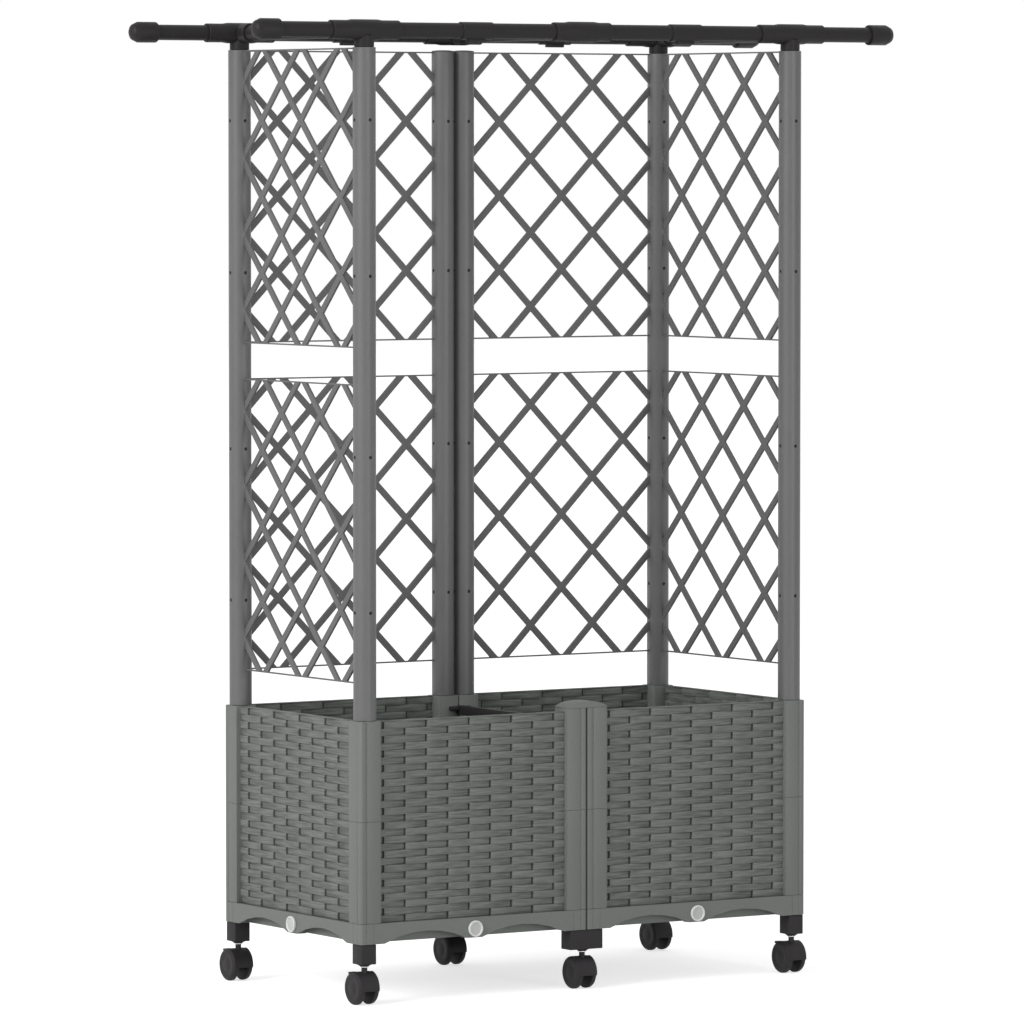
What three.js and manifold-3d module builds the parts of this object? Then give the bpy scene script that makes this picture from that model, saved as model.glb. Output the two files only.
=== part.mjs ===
// Rolling planter with a trellis: two square modules side by side on six twin-wheel castors, six posts
// that hold eight diagonal lattice panels around three sides, and a flat roof of tubes.
// Millimetres, +Z up. X runs along the front, Y from the front to the back.
import * as THREE from 'three';
import { mergeVertices } from 'three/addons/utils/BufferGeometryUtils.js';
import Module from 'manifold-3d';

const wasm = await Module();
wasm.setup();

// ---- Driving dimensions ----

// Fits
const seat = 0.3; // gap between two pieces that rest on each other
const slideFit = 0.3; // play on each side of a piece that slides into a groove or a slot
const turnFit = 0.6; // play between a pin and the hole that it turns or slides in
const throughCut = 2; // how far a cutting body passes the face that it opens

// Planter modules
const moduleSide = 396; // each module is square in plan
const moduleGap = 1.6; // between the two modules
const cornerRadius = 3.5; // upright corners of trays and columns
const fluteInset = 10.3; // flutes in the columns and in the skirt, from the corner
const fluteWidth = 2.6;
const fluteDepth = 0.8;
const cornerGroove = { inset: 22.5, width: 1.4, depth: 0.8 }; // marks off each corner of the skirt

// Castors
const castorInset = 14.4; // stem axis from the faces of the module
const castorTrail = 7; // axle behind the stem axis
const wheelRadius = 24.5; // to the flats of the rim
const wheelWidth = 9.5;
const wheelShoulder = 5; // chamfer between tread and outer face, along the axle
const wheelFaceRadius = 18;
const wheelPlay = 0.5; // between wheel and housing
const axleRadius = 3;
const housingWidth = 15;
const housingRadius = 24.4;
const housingFrontAngle = 188; // degrees from straight back, over the top, to the front edge of the hood
const housingBackAngle = -35;
const housingHubRadius = 9;
const hubStartAngle = 200; // degrees from straight back, over the top, round the hub under the axle
const hubEndAngle = 290;
const stemRadius = 4.4;
const stemDepth = 22; // how far the stem reaches into its socket
const neckLength = 8.3; // stem that shows between housing and collar

// Brake pedals
const pedalWidth = 10;
const pedalPivot = { back: 11, up: 17 }; // pivot from the axle
const pedalHubRadius = 3.4;
const pedalHubStart = 120; // degrees from straight back, over the top
const pedalHubEnd = 290;
const pedalReach = 31; // tip behind the axle
const pedalTipTop = 21.2; // top of the tip above the axle
const pedalTipThickness = 3;
const pedalNeckTop = 22.5; // top of the lever over its pivot
const pedalThroat = { back: 14.5, up: 14.6 }; // lower edge where the lever leaves its hub
const pedalPlay = 0.4; // between the pedal and the pocket in the housing
const pocketFloor = 11; // floor of the pocket above the axle

// Castor sockets
const socketWidth = 26;
const doubleSocketLength = 58;
const socketHeight = 29.4;
const collarRadius = 11.5;
const collarWall = 1; // at the mouth of the stem hole
const collarHeight = 3.3;
const spigotRadius = 7; // pin on a socket that goes up through a tray corner

// Trays
const trayHeight = 30.3;
const skirtWall = 3;
const trayRim = 19; // width of the rim that carries the woven panels
const trayRimHeight = 8;
const trayFloor = 3;
const trayFloorRaise = 1; // underside of the floor above the bottom of the skirt
const cornerPad = 38;
const middlePad = 30;
const archStart = 13; // nearer end of each arch from the middle of the side
const archWidth = 144;
const archRise = 15.4;
const spigotHoleFit = 0.4;

// Drain plugs
const plugRadius = 12.4;
const plugHead = 2.4; // thickness of the disc
const plugLip = 1.2; // raised ring above the disc
const plugLipWidth = 2;
const plugPinRadius = 6;
const plugHeight = 13.4; // axis above the bottom of the skirt
const plugPinFit = 0.5;

// Woven side panels
const panelThickness = 8;
const panelRecess = 7; // behind the outer faces of the columns
const wovenRows = 28;
const strandBulge = 2;
const rimHeight = 1.8;
const channelDepth = 3; // seat of the panels in the tray

// Columns
const columnWidth = 34.6;
const columnHeight = 298.4;
const grooveDepth = 2.6;
const middleFootHeight = 10; // solid foot of the middle columns over their pins

// Joining cap over the front middle columns
const capInset = 0.3; // behind the faces of the columns
const capBase = 4.4; // underside of the cap above the other columns
const capHeight = 14; // middle of the cap above the other columns
const capCrown = 7.5; // how far the cap falls from its middle to its sides
const capRebate = 1; // how far both columns reach up into the cap

// Tie bar between the front and back middle columns
const tieBarWidth = 8;
const tieBarHeight = 14;
const tieBarDrop = 15.4; // top of the bar below the top of the columns
const tieHookWidth = 36;
const tieHookHeight = 6;
const tieHookDrop = 1; // top of the hook below the top of the bar
const tieHookDepth = 3.6;

// Posts
const postRadius = 17;
const postWall = 3;
const postInset = 17.6; // post axis from the two outer faces of its column
const postSpigotRadius = 11;
const postSpigotLength = 60;
const postFloor = 4;
const domeEdge = 1.2; // straight edge of the domed cap of a middle post
const domeRise = 1.3;
const domeWall = 0.8;
const domeShoulder = { radius: 10.2, rise: 0.9 }; // where the dome turns flatter

// Lattice panels
const latticeHeight = 441;
const latticeGap = 53.3; // under each panel, to the planter or to the panel below
const latticePitch = 114.3; // from crossing to crossing, level and upright
const stripWidth = 10;
const latticeThickness = 4;
const latticeEdge = 2.2; // height of the top and bottom edge
const latticeTongue = 3.4; // how far the sides enter the posts
const smallestHole = 4; // area under which a clipped hole is left out

// Roof
const railHalfLength = 568;
const railRadius = 11.6;
const railWall = 1.6;
const capRadius = 15.5;
const capLength = 43;
const capTaper = 12;
const capTipRadius = 6;
const capWall = 3;
const ventRadius = 2;
const sleeveLength = 55;
const sleeveRadius = 13.2;
const sleeveOffset = 186; // from the middle of the rail
const sleeveBoss = { length: 30, width: 9, drop: 17 }; // screw boss under each sleeve
const connectorLength = 116;
const middleConnectorLength = 99;
const connectorRadius = 15.4;
const connectorEndRadius = 14.2;
const connectorWaist = 22; // half length of the thick middle of a connector
const connectorFit = 0.5;
const crossTubeBore = 9;
const stubRadius = 14.7;
const stubHeight = 9.6; // stub that shows between post and connector
const stubPlug = 20; // how far a stub goes down into its post

// Facets
const postSides = 12;
const roofSides = 10;
const wheelSides = 16;
const boreSides = 12;
const pinSides = 8;
const plugSides = 10;
const cornerSteps = 3;
const capSteps = 10;
const archSteps = 6;
const housingSteps = 11;
const hubSteps = 3;
const pedalSteps = 5;

// ---- Places worked out from the dimensions ----

const halfLength = moduleGap / 2 + moduleSide;
const halfDepth = moduleSide / 2;
const moduleMiddle = (moduleGap + moduleSide) / 2;

const housingTop = wheelRadius + housingRadius;
const socketBottom = housingTop + neckLength + collarHeight;
const trayBottom = socketBottom + socketHeight + seat;
const trayTop = trayBottom + trayHeight;
const columnBottom = trayTop + seat;
const columnTop = columnBottom + columnHeight;
const postBottom = columnTop + seat;
const lowerLatticeBottom = columnTop + latticeGap;
const upperLatticeBottom = lowerLatticeBottom + latticeHeight + latticeGap;
const postTop = upperLatticeBottom + latticeHeight + seat;
const railLevel = postTop + seat + stubHeight + connectorRadius;

const castorEnd = halfLength - castorInset;
const castorSide = halfDepth - castorInset;
const postEnd = halfLength - postInset;
const postSide = halfDepth - postInset;
const postSeam = moduleGap / 2 + postInset;
const grooveStart = panelRecess - slideFit;
const grooveEnd = panelRecess + panelThickness + slideFit;

const plugStandOut = seat + plugHead + plugLip;
const frontReach = halfDepth + plugStandOut;
const backReach = castorSide + castorTrail + pedalReach;

// ---- Materials ----

const colours = {
  greyPlastic: { color: 0x6e716d, roughness: 0.62 },
  blackPlastic: { color: 0x252427, roughness: 0.5 },
  blackTube: { color: 0x222124, roughness: 0.42 },
  plugPlastic: { color: 0xb9bbb7, roughness: 0.5 },
};

function finish(name) {
  return new THREE.MeshStandardMaterial({ ...colours[name], metalness: 0 });
}

// ---- Solids ----

// A closed geometry as a solid: shared corners are merged, and the flat triangles at an axis are dropped.
function solidOf(geometry) {
  const bare = new THREE.BufferGeometry();
  bare.setAttribute('position', geometry.getAttribute('position'));
  if (geometry.index) bare.setIndex(geometry.index);
  const merged = mergeVertices(bare, 1e-4);
  const corners = merged.index.array;
  const triangles = [];
  for (let i = 0; i < corners.length; i += 3) {
    const [a, b, c] = [corners[i], corners[i + 1], corners[i + 2]];
    if (a !== b && b !== c && c !== a) triangles.push(a, b, c);
  }
  const mesh = new wasm.Mesh({
    numProp: 3,
    vertProperties: new Float32Array(merged.getAttribute('position').array),
    triVerts: new Uint32Array(triangles),
  });
  return new wasm.Manifold(mesh);
}

function geometryOf(solid) {
  const mesh = solid.getMesh();
  const geometry = new THREE.BufferGeometry();
  geometry.setAttribute('position', new THREE.BufferAttribute(mesh.vertProperties, 3));
  geometry.setIndex(new THREE.BufferAttribute(mesh.triVerts, 1));
  geometry.computeVertexNormals();
  return geometry;
}

function joined(solids) {
  return solids.reduce((whole, solid) => whole.add(solid));
}

function without(body, cutters) {
  return cutters.reduce((whole, cutter) => whole.subtract(cutter), body);
}

// A plan in X and Y, raised from one level to another.
function upright(shape, bottom, top) {
  const geometry = new THREE.ExtrudeGeometry(shape, { depth: top - bottom, bevelEnabled: false });
  return geometry.translate(0, 0, bottom);
}

// A profile in Y and Z, carried along X.
function alongX(shape, start, end) {
  const geometry = new THREE.ExtrudeGeometry(shape, { depth: end - start, bevelEnabled: false });
  const turn = new THREE.Matrix4().set(0, 0, 1, start, 1, 0, 0, 0, 0, 1, 0, 0, 0, 0, 0, 1);
  return geometry.applyMatrix4(turn);
}

// A profile in X and Z, carried along Y.
function alongY(shape, start, end) {
  const geometry = new THREE.ExtrudeGeometry(shape, { depth: end - start, bevelEnabled: false });
  return geometry.rotateX(Math.PI / 2).translate(0, end, 0);
}

function box(x0, x1, y0, y1, z0, z1) {
  const geometry = new THREE.BoxGeometry(x1 - x0, y1 - y0, z1 - z0);
  return geometry.translate((x0 + x1) / 2, (y0 + y1) / 2, (z0 + z1) / 2);
}

// Points of [radius, place on the axis], turned round +Z. A profile that doesn't start and end on the axis
// closes on itself.
function turned(points, sides) {
  const profile = points.map(([radius, place]) => new THREE.Vector2(radius, place));
  if (THREE.ShapeUtils.isClockWise(profile)) profile.reverse();
  const onAxis = profile.filter((point) => point.x === 0).length > 0;
  if (onAxis) {
    while (profile[0].x !== 0 || profile[profile.length - 1].x !== 0) profile.push(profile.shift());
  } else {
    profile.push(profile[0].clone());
  }
  const lathe = new THREE.LatheGeometry(profile, sides, Math.PI / sides);
  return lathe.rotateX(Math.PI / 2);
}

function rod(radius, bottom, top, sides) {
  return turned([[0, bottom], [radius, bottom], [radius, top], [0, top]], sides);
}

function turnedAlongX(points, sides) {
  return turned(points, sides).rotateY(Math.PI / 2);
}

function turnedAlongY(points, sides) {
  return turned(points, sides).rotateX(-Math.PI / 2);
}

function polygon(points) {
  return new THREE.Shape(points.map(([a, b]) => new THREE.Vector2(a, b)));
}

// Points on an arc, angles in degrees.
function arc(centreA, centreB, radius, from, to, steps) {
  const points = [];
  for (let i = 0; i <= steps; i += 1) {
    const angle = THREE.MathUtils.degToRad(from + ((to - from) * i) / steps);
    points.push([centreA + radius * Math.cos(angle), centreB + radius * Math.sin(angle)]);
  }
  return points;
}

// ---- The assembly ----

const planter = new THREE.Group();
planter.position.y = (frontReach - backReach) / 2; // centres the footprint on the origin

function add(name, geometry, finishName, place = {}) {
  const mesh = new THREE.Mesh(geometry, finish(finishName));
  mesh.name = name;
  mesh.position.set(place.x ?? 0, place.y ?? 0, place.z ?? 0);
  mesh.rotation.z = place.turn ?? 0;
  mesh.scale.set(place.mirrorX ?? 1, place.mirrorY ?? 1, 1);
  planter.add(mesh);
  return mesh;
}

const sides = { left: -1, right: 1 };
const ends = { front: -1, back: 1 };

// ---- Base trays ----

// A groove across an outline that runs along an axis: its two edges and its bottom, from low to high.
function groovePoints(middle, width, depth) {
  return [[middle - width / 2, 0], [middle, depth], [middle + width / 2, 0]];
}

// Corner of the skirt from one side to the other, corner at the origin: flute and groove on each side of
// the rounded edge. Runs from the Y side to the X side.
function skirtCorner() {
  const r = cornerRadius;
  const marks = [
    ...groovePoints(fluteInset, fluteWidth, fluteDepth),
    ...groovePoints(cornerGroove.inset, cornerGroove.width, cornerGroove.depth),
  ];
  const alongSide = marks.map(([place, depth]) => [depth, place]).reverse();
  return [...alongSide, ...arc(r, r, r, 180, 270, cornerSteps), ...marks];
}

// The left module's tray, with its outer end at -X. Middle of the module at the origin.
function tray() {
  const half = moduleSide / 2;
  const corner = skirtCorner();
  const turnedBack = [...corner].reverse();
  const outline = polygon([
    ...corner.map(([x, y]) => [x - half, y - half]),
    ...turnedBack.map(([x, y]) => [half - x, y - half]),
    ...corner.map(([x, y]) => [half - x, half - y]),
    ...turnedBack.map(([x, y]) => [x - half, half - y]),
  ]);
  const block = solidOf(upright(outline, trayBottom, trayTop));
  const cutters = [
    box(-half + trayRim, half - trayRim, -half + trayRim, half - trayRim,
      trayBottom + trayFloorRaise + trayFloor, trayTop + throughCut),
    ...trayUnderside(half),
    ...traySides(half),
    ...trayPinHoles(half),
    ...trayDrainHoles(half),
  ];
  return geometryOf(without(block, cutters.map(solidOf)));
}

// Room under the floor, and a groove behind the skirt on each side of every middle pad.
function trayUnderside(half) {
  const low = trayBottom - throughCut;
  const inside = half - trayRim + skirtWall;
  const skirt = half - skirtWall;
  const pad = half - cornerPad;
  const grooveTop = trayTop - trayRimHeight;
  const cutters = [
    box(-inside, inside, -pad, pad, low, trayBottom + trayFloorRaise),
    box(-pad, pad, -inside, inside, low, trayBottom + trayFloorRaise),
  ];
  for (const way of [-1, 1]) {
    const [start, end] = [way * (middlePad / 2), way * pad].sort((p, q) => p - q);
    cutters.push(
      box(start, end, -skirt, -inside, low, grooveTop),
      box(start, end, inside, skirt, low, grooveTop),
      box(-skirt, -inside, start, end, low, grooveTop),
      box(inside, skirt, start, end, low, grooveTop),
    );
  }
  return cutters;
}

// Two arches through the skirt of each side, and the channel that a woven panel stands in.
function traySides(half) {
  const halfWidth = archWidth / 2;
  const archRadius = (halfWidth ** 2 + archRise ** 2) / (2 * archRise);
  const reach = THREE.MathUtils.radToDeg(Math.asin(halfWidth / archRadius));
  const centre = trayBottom + archRise - archRadius;
  const archPlan = (middle) => polygon([
    [middle + halfWidth, trayBottom - throughCut],
    ...arc(middle, centre, archRadius, 90 - reach, 90 + reach, archSteps),
    [middle - halfWidth, trayBottom - throughCut],
  ]);
  const cutters = [];
  for (const way of [-1, 1]) {
    const middle = way * (archStart + halfWidth);
    for (const face of [-1, 1]) {
      const [start, end] = [face * (half - skirtWall), face * (half + throughCut)].sort((p, q) => p - q);
      cutters.push(alongY(archPlan(middle), start, end), alongX(archPlan(middle), start, end));
    }
    const floor = trayTop - channelDepth;
    const top = trayTop + throughCut;
    const [near, far] = [way * (half - grooveStart), way * (half - grooveEnd)].sort((p, q) => p - q);
    const span = half - columnWidth + grooveDepth + slideFit;
    cutters.push(box(-span, span, near, far, floor, top));
    if (way < 0) cutters.push(box(near, far, -span, span, floor, top));
  }
  return cutters;
}

function trayPinHoles(half) {
  const holes = [];
  for (const wayX of [-1, 1]) {
    for (const wayY of [-1, 1]) {
      const hole = rod(spigotRadius + spigotHoleFit, trayBottom - throughCut, trayTop + throughCut, pinSides);
      holes.push(hole.translate(wayX * (half - castorInset), wayY * (half - castorInset), 0));
    }
  }
  return holes;
}

function trayDrainHoles(half) {
  const radius = plugPinRadius + plugPinFit;
  const level = trayBottom + plugHeight;
  const hole = [[0, -throughCut], [radius, -throughCut], [radius, trayRim + throughCut], [0, trayRim + throughCut]];
  const front = turnedAlongY(hole, plugSides).translate(0, -half, level);
  const back = turnedAlongY(hole, plugSides).translate(0, half - trayRim, level);
  const outer = turnedAlongX(hole, plugSides).translate(-half, 0, level);
  return [front, back, outer];
}

for (const [side, way] of Object.entries(sides)) {
  add(`tray_${side}`, tray(), 'greyPlastic', { x: way * moduleMiddle, mirrorX: -way });
}

// ---- Drain plugs ----

// The disc faces -Y, and the pin goes through the skirt and the pad behind it to the inside of the tray.
function drainPlug() {
  const lipFoot = plugRadius - plugLipWidth;
  const profile = [
    [0, trayRim],
    [plugPinRadius, trayRim],
    [plugPinRadius, -seat],
    [plugRadius, -seat],
    [plugRadius, -seat - plugHead - plugLip],
    [lipFoot, -seat - plugHead - plugLip],
    [lipFoot - plugLip, -seat - plugHead],
    [0, -seat - plugHead],
  ];
  return turnedAlongY(profile, plugSides);
}

const plugLevel = trayBottom + plugHeight;
for (const [side, way] of Object.entries(sides)) {
  const alongEnd = { x: way * halfLength, z: plugLevel, turn: (way * Math.PI) / 2 };
  add(`drain_plug_${side}`, drainPlug(), 'plugPlastic', alongEnd);
  for (const [end, face] of Object.entries(ends)) {
    const turn = face < 0 ? 0 : Math.PI;
    const place = { x: way * moduleMiddle, y: face * halfDepth, z: plugLevel, turn };
    add(`drain_plug_${end}_${side}`, drainPlug(), 'plugPlastic', place);
  }
}

// ---- Woven side panels ----

// A panel that faces -Y, with its outermost strands at y = 0. Each row of strands bulges outwards.
function wovenPanel() {
  const length = moduleSide - 2 * (columnWidth - grooveDepth + slideFit);
  const bottom = trayTop - channelDepth + seat;
  const rowHeight = (columnTop - rimHeight - trayTop) / wovenRows;
  const outline = [[panelThickness, bottom], [panelThickness, columnTop], [0, columnTop]];
  outline.push([0, columnTop - rimHeight]);
  for (let row = wovenRows - 1; row >= 0; row -= 1) {
    const foot = trayTop + row * rowHeight;
    if (row < wovenRows - 1) outline.push([strandBulge, foot + rowHeight]);
    outline.push([0, foot + rowHeight / 2]);
  }
  outline.push([strandBulge, trayTop], [strandBulge, bottom]);
  return geometryOf(solidOf(alongX(polygon(outline.reverse()), -length / 2, length / 2)));
}

for (const [side, way] of Object.entries(sides)) {
  for (const [end, face] of Object.entries(ends)) {
    const turn = face < 0 ? 0 : Math.PI;
    const place = { x: way * moduleMiddle, y: face * (halfDepth - panelRecess), turn };
    add(`woven_panel_${end}_${side}`, wovenPanel(), 'greyPlastic', place);
  }
  const alongEnd = { x: way * (halfLength - panelRecess), turn: (way * Math.PI) / 2 };
  add(`woven_panel_${side}`, wovenPanel(), 'greyPlastic', alongEnd);
}

// ---- Columns ----

// Section of a column, outer corner of its module at the origin and the planter towards +X and +Y. The
// corner is rounded between two flutes, and each inner side beside a woven panel has a groove for it.
function columnSection(panelTowardsY) {
  const w = columnWidth;
  const r = cornerRadius;
  const deep = w - grooveDepth;
  const flute = groovePoints(fluteInset, fluteWidth, fluteDepth);
  const sideGroove = [[grooveEnd, w], [grooveEnd, deep], [grooveStart, deep], [grooveStart, w]];
  return polygon([
    ...arc(r, r, r, 180, 270, cornerSteps),
    ...flute,
    [w, 0],
    [w, grooveStart],
    [deep, grooveStart],
    [deep, grooveEnd],
    [w, grooveEnd],
    [w, w],
    ...(panelTowardsY ? sideGroove : []),
    [0, w],
    ...flute.map(([place, depth]) => [depth, place]).reverse(),
  ]);
}

function postBore(x, y, bottom) {
  const bore = rod(postSpigotRadius + turnFit, bottom, columnTop + throughCut, boreSides);
  return solidOf(bore.translate(x, y, 0));
}

function cornerColumn() {
  const body = solidOf(upright(columnSection(true), columnBottom, columnTop));
  const bore = postBore(postInset, postInset, columnBottom - throughCut);
  return geometryOf(body.subtract(bore));
}

for (const [side, way] of Object.entries(sides)) {
  for (const [end, face] of Object.entries(ends)) {
    const place = { x: way * halfLength, y: face * halfDepth, mirrorX: -way, mirrorY: -face };
    add(`corner_column_${end}_${side}`, cornerColumn(), 'greyPlastic', place);
  }
}

// Slot across the inner faces of two middle columns, for the hook of the tie bar.
function hookSlot() {
  const top = columnTop - tieBarDrop - tieHookDrop;
  const half = tieHookWidth / 2 + slideFit;
  const depth = tieHookDepth + slideFit;
  return solidOf(box(-half, half, columnWidth - depth, columnWidth + throughCut,
    top - tieHookHeight - slideFit, top + slideFit));
}

// Two columns side by side over the double castor socket that joins them from below. Their pins go
// through the corners of both trays. The front pair is closed by the joining cap.
function middleColumns(capped) {
  const top = capped ? columnTop + capBase + capRebate : columnTop;
  const column = upright(columnSection(false), columnBottom, top).translate(moduleGap / 2, 0, 0);
  const pin = rod(spigotRadius, socketBottom + socketHeight / 2, columnBottom + middleFootHeight / 2, pinSides);
  pin.translate(moduleGap / 2 + castorInset, castorInset, 0);
  const half = solidOf(column).add(solidOf(pin));
  const pair = half.add(half.mirror([1, 0, 0]));
  const socket = castorSocketBody(doubleSocketLength).translate([0, castorInset, 0]);
  const body = joined(capped ? [pair, socket, joiningCap()] : [pair, socket]);
  const cutters = [hookSlot(), stemHole().translate([0, castorInset, 0])];
  if (!capped) {
    for (const way of [-1, 1]) {
      cutters.push(postBore(way * postSeam, postInset, columnBottom + middleFootHeight));
    }
  }
  return geometryOf(without(body, cutters));
}

// The cap is highest over the seam and falls more and more steeply towards its sides.
function joiningCap() {
  const half = moduleGap / 2 + columnWidth - capInset;
  const bottom = columnTop + capBase;
  const crown = [];
  for (let i = 0; i <= capSteps; i += 1) {
    const x = half * Math.cos((Math.PI * i) / capSteps);
    crown.push([x, columnTop + capHeight - capCrown * Math.abs(x / half) ** 3]);
  }
  const outline = polygon([[-half, bottom], [half, bottom], ...crown]);
  return solidOf(alongY(outline, capInset, columnWidth - capInset));
}

// ---- Castor sockets ----

// A block with a collar under it, centred on the stem axis.
function castorSocketBody(length) {
  const top = socketBottom + socketHeight;
  const half = socketWidth / 2;
  const block = box(-length / 2, length / 2, -half, half, socketBottom, top);
  const collar = turned([
    [0, socketBottom - collarHeight],
    [stemRadius + turnFit + collarWall, socketBottom - collarHeight],
    [collarRadius, socketBottom],
    [0, socketBottom],
  ], boreSides);
  return solidOf(block).add(solidOf(collar));
}

function stemHole() {
  const bottom = socketBottom - collarHeight - throughCut;
  return solidOf(rod(stemRadius + turnFit, bottom, socketBottom + stemDepth + seat, boreSides));
}

function cornerSocket() {
  const top = trayTop - seat;
  const spigot = solidOf(rod(spigotRadius, socketBottom + socketHeight / 2 + stemDepth / 2, top, pinSides));
  return geometryOf(castorSocketBody(socketWidth).add(spigot).subtract(stemHole()));
}

for (const [end, face] of Object.entries(ends)) {
  const place = { y: face * halfDepth, mirrorY: -face };
  add(`middle_columns_${end}`, middleColumns(face < 0), 'greyPlastic', place);
  for (const [side, way] of Object.entries(sides)) {
    const under = { x: way * castorEnd, y: face * castorSide };
    add(`castor_socket_${end}_${side}`, cornerSocket(), 'blackPlastic', under);
  }
}

// ---- Tie bar ----

function tieBar() {
  const top = columnTop - tieBarDrop;
  const inner = halfDepth - columnWidth;
  const bar = box(-tieBarWidth / 2, tieBarWidth / 2, -inner + seat, inner - seat, top - tieBarHeight, top);
  const hookTop = top - tieHookDrop;
  const hooks = Object.values(ends).map((face) => {
    const [y0, y1] = [face * (inner - tieBarWidth), face * (inner + tieHookDepth)].sort((p, q) => p - q);
    return box(-tieHookWidth / 2, tieHookWidth / 2, y0, y1, hookTop - tieHookHeight, hookTop);
  });
  return geometryOf(joined([bar, ...hooks].map(solidOf)));
}

add('tie_bar', tieBar(), 'blackPlastic');

// ---- Castors ----

// Housing between the two wheels: a hood over the top and the front, open towards the floor at the front,
// a hub for the axle and the stem that turns in its socket. Stem axis at the origin.
function castorHousing(braked) {
  const outline = polygon([
    ...arc(castorTrail, wheelRadius, housingRadius, housingBackAngle, housingFrontAngle, housingSteps),
    ...arc(castorTrail, wheelRadius, housingHubRadius, hubStartAngle, hubEndAngle, hubSteps),
  ]);
  const hood = solidOf(alongX(outline, -housingWidth / 2, housingWidth / 2));
  const stem = solidOf(rod(stemRadius, wheelRadius + housingHubRadius, socketBottom + stemDepth, boreSides));
  const cutters = [axleHole()];
  if (braked) cutters.push(pedalPocket());
  return geometryOf(without(hood.add(stem), cutters));
}

function axleHole() {
  const radius = axleRadius + turnFit;
  const reach = housingWidth / 2 + throughCut;
  const hole = turnedAlongX([[0, -reach], [radius, -reach], [radius, reach], [0, reach]], boreSides);
  return solidOf(hole.translate(0, castorTrail, wheelRadius));
}

function pedalPocket() {
  const half = pedalWidth / 2 + pedalPlay;
  const front = castorTrail + pedalPivot.back - pedalHubRadius - pedalPlay;
  const floor = wheelRadius + pocketFloor;
  return solidOf(box(-half, half, front, castorTrail + pedalReach, floor, housingTop + throughCut));
}

// Two wheels on their axle. A flat of the rim faces the floor.
function wheelPair() {
  const inner = housingWidth / 2 + wheelPlay;
  const outer = inner + wheelWidth;
  const corner = Math.cos(Math.PI / wheelSides);
  const rim = wheelRadius / corner;
  const face = wheelFaceRadius / corner;
  const half = [[rim, outer - wheelShoulder], [rim, inner], [axleRadius, inner]];
  const profile = [
    [0, outer],
    [face, outer],
    ...half,
    ...half.map(([radius, place]) => [radius, -place]).reverse(),
    [face, -outer],
    [0, -outer],
  ];
  return geometryOf(solidOf(turnedAlongX(profile, wheelSides).translate(0, castorTrail, wheelRadius)));
}

// Lever on top of the housing, in its pocket: a hub on the pivot and a tab that points back.
function brakePedal() {
  const pivot = { y: castorTrail + pedalPivot.back, z: wheelRadius + pedalPivot.up };
  const tip = castorTrail + pedalReach;
  const tipTop = wheelRadius + pedalTipTop;
  const outline = polygon([
    [pivot.y, wheelRadius + pedalNeckTop],
    ...arc(pivot.y, pivot.z, pedalHubRadius, pedalHubStart, pedalHubEnd, pedalSteps),
    [castorTrail + pedalThroat.back, wheelRadius + pedalThroat.up],
    [tip, tipTop - pedalTipThickness],
    [tip, tipTop],
  ]);
  return geometryOf(solidOf(alongX(outline, -pedalWidth / 2, pedalWidth / 2)));
}

for (const [end, face] of Object.entries(ends)) {
  for (const [place, way] of Object.entries({ left: -1, middle: 0, right: 1 })) {
    const under = { x: way * castorEnd, y: face * castorSide };
    const braked = way !== 0;
    add(`castor_housing_${end}_${place}`, castorHousing(braked), 'blackPlastic', under);
    add(`castor_wheels_${end}_${place}`, wheelPair(), 'blackPlastic', under);
    if (braked) add(`brake_pedal_${end}_${place}`, brakePedal(), 'blackPlastic', under);
  }
}

// ---- Posts ----

// A tube with a narrower spigot that stands in its column. Each panel beside it has a slot.
function post(slotWays, domed) {
  const bore = postRadius - postWall;
  const floor = postBottom + postFloor;
  const spigotBore = postSpigotRadius - postWall;
  const foot = [
    [bore, floor],
    [spigotBore, floor],
    [spigotBore, postBottom - postSpigotLength],
    [postSpigotRadius, postBottom - postSpigotLength],
    [postSpigotRadius, postBottom],
    [postRadius, postBottom],
    [postRadius, postTop],
  ];
  const edge = postTop + domeEdge;
  const dome = [[postRadius, edge], [domeShoulder.radius, edge + domeShoulder.rise], [0, edge + domeRise]];
  const closed = [...dome, [0, edge - domeWall], [bore, edge - domeWall]];
  const tube = solidOf(turned([...foot, ...(domed ? closed : [[bore, postTop]])], postSides));
  const slots = slotWays.flatMap((turn) => [
    postSlot(turn, lowerLatticeBottom - seat, lowerLatticeBottom + latticeHeight + seat),
    postSlot(turn, upperLatticeBottom - seat, domed ? postTop : postTop + throughCut),
  ]);
  return geometryOf(without(tube, slots));
}

function postSlot(turn, bottom, top) {
  const half = latticeThickness / 2 + slideFit;
  const inner = postRadius - latticeTongue - slideFit;
  const slot = box(inner, postRadius + throughCut, -half, half, bottom, top);
  return solidOf(slot.rotateZ(turn));
}

const towards = { right: 0, back: Math.PI / 2, left: Math.PI, front: -Math.PI / 2 };
const postPlan = [
  ['front_left', -postEnd, -postSide, ['back'], false],
  ['front_right', postEnd, -postSide, ['back'], false],
  ['back_left', -postEnd, postSide, ['front', 'right'], false],
  ['back_right', postEnd, postSide, ['front', 'left'], false],
  ['middle_left', -postSeam, postSide, ['left'], true],
  ['middle_right', postSeam, postSide, ['right'], true],
];
for (const [name, x, y, ways, domed] of postPlan) {
  const slotWays = ways.map((way) => towards[way]);
  add(`post_${name}`, post(slotWays, domed), 'greyPlastic', { x, y });
}

// ---- Lattice panels ----

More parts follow.
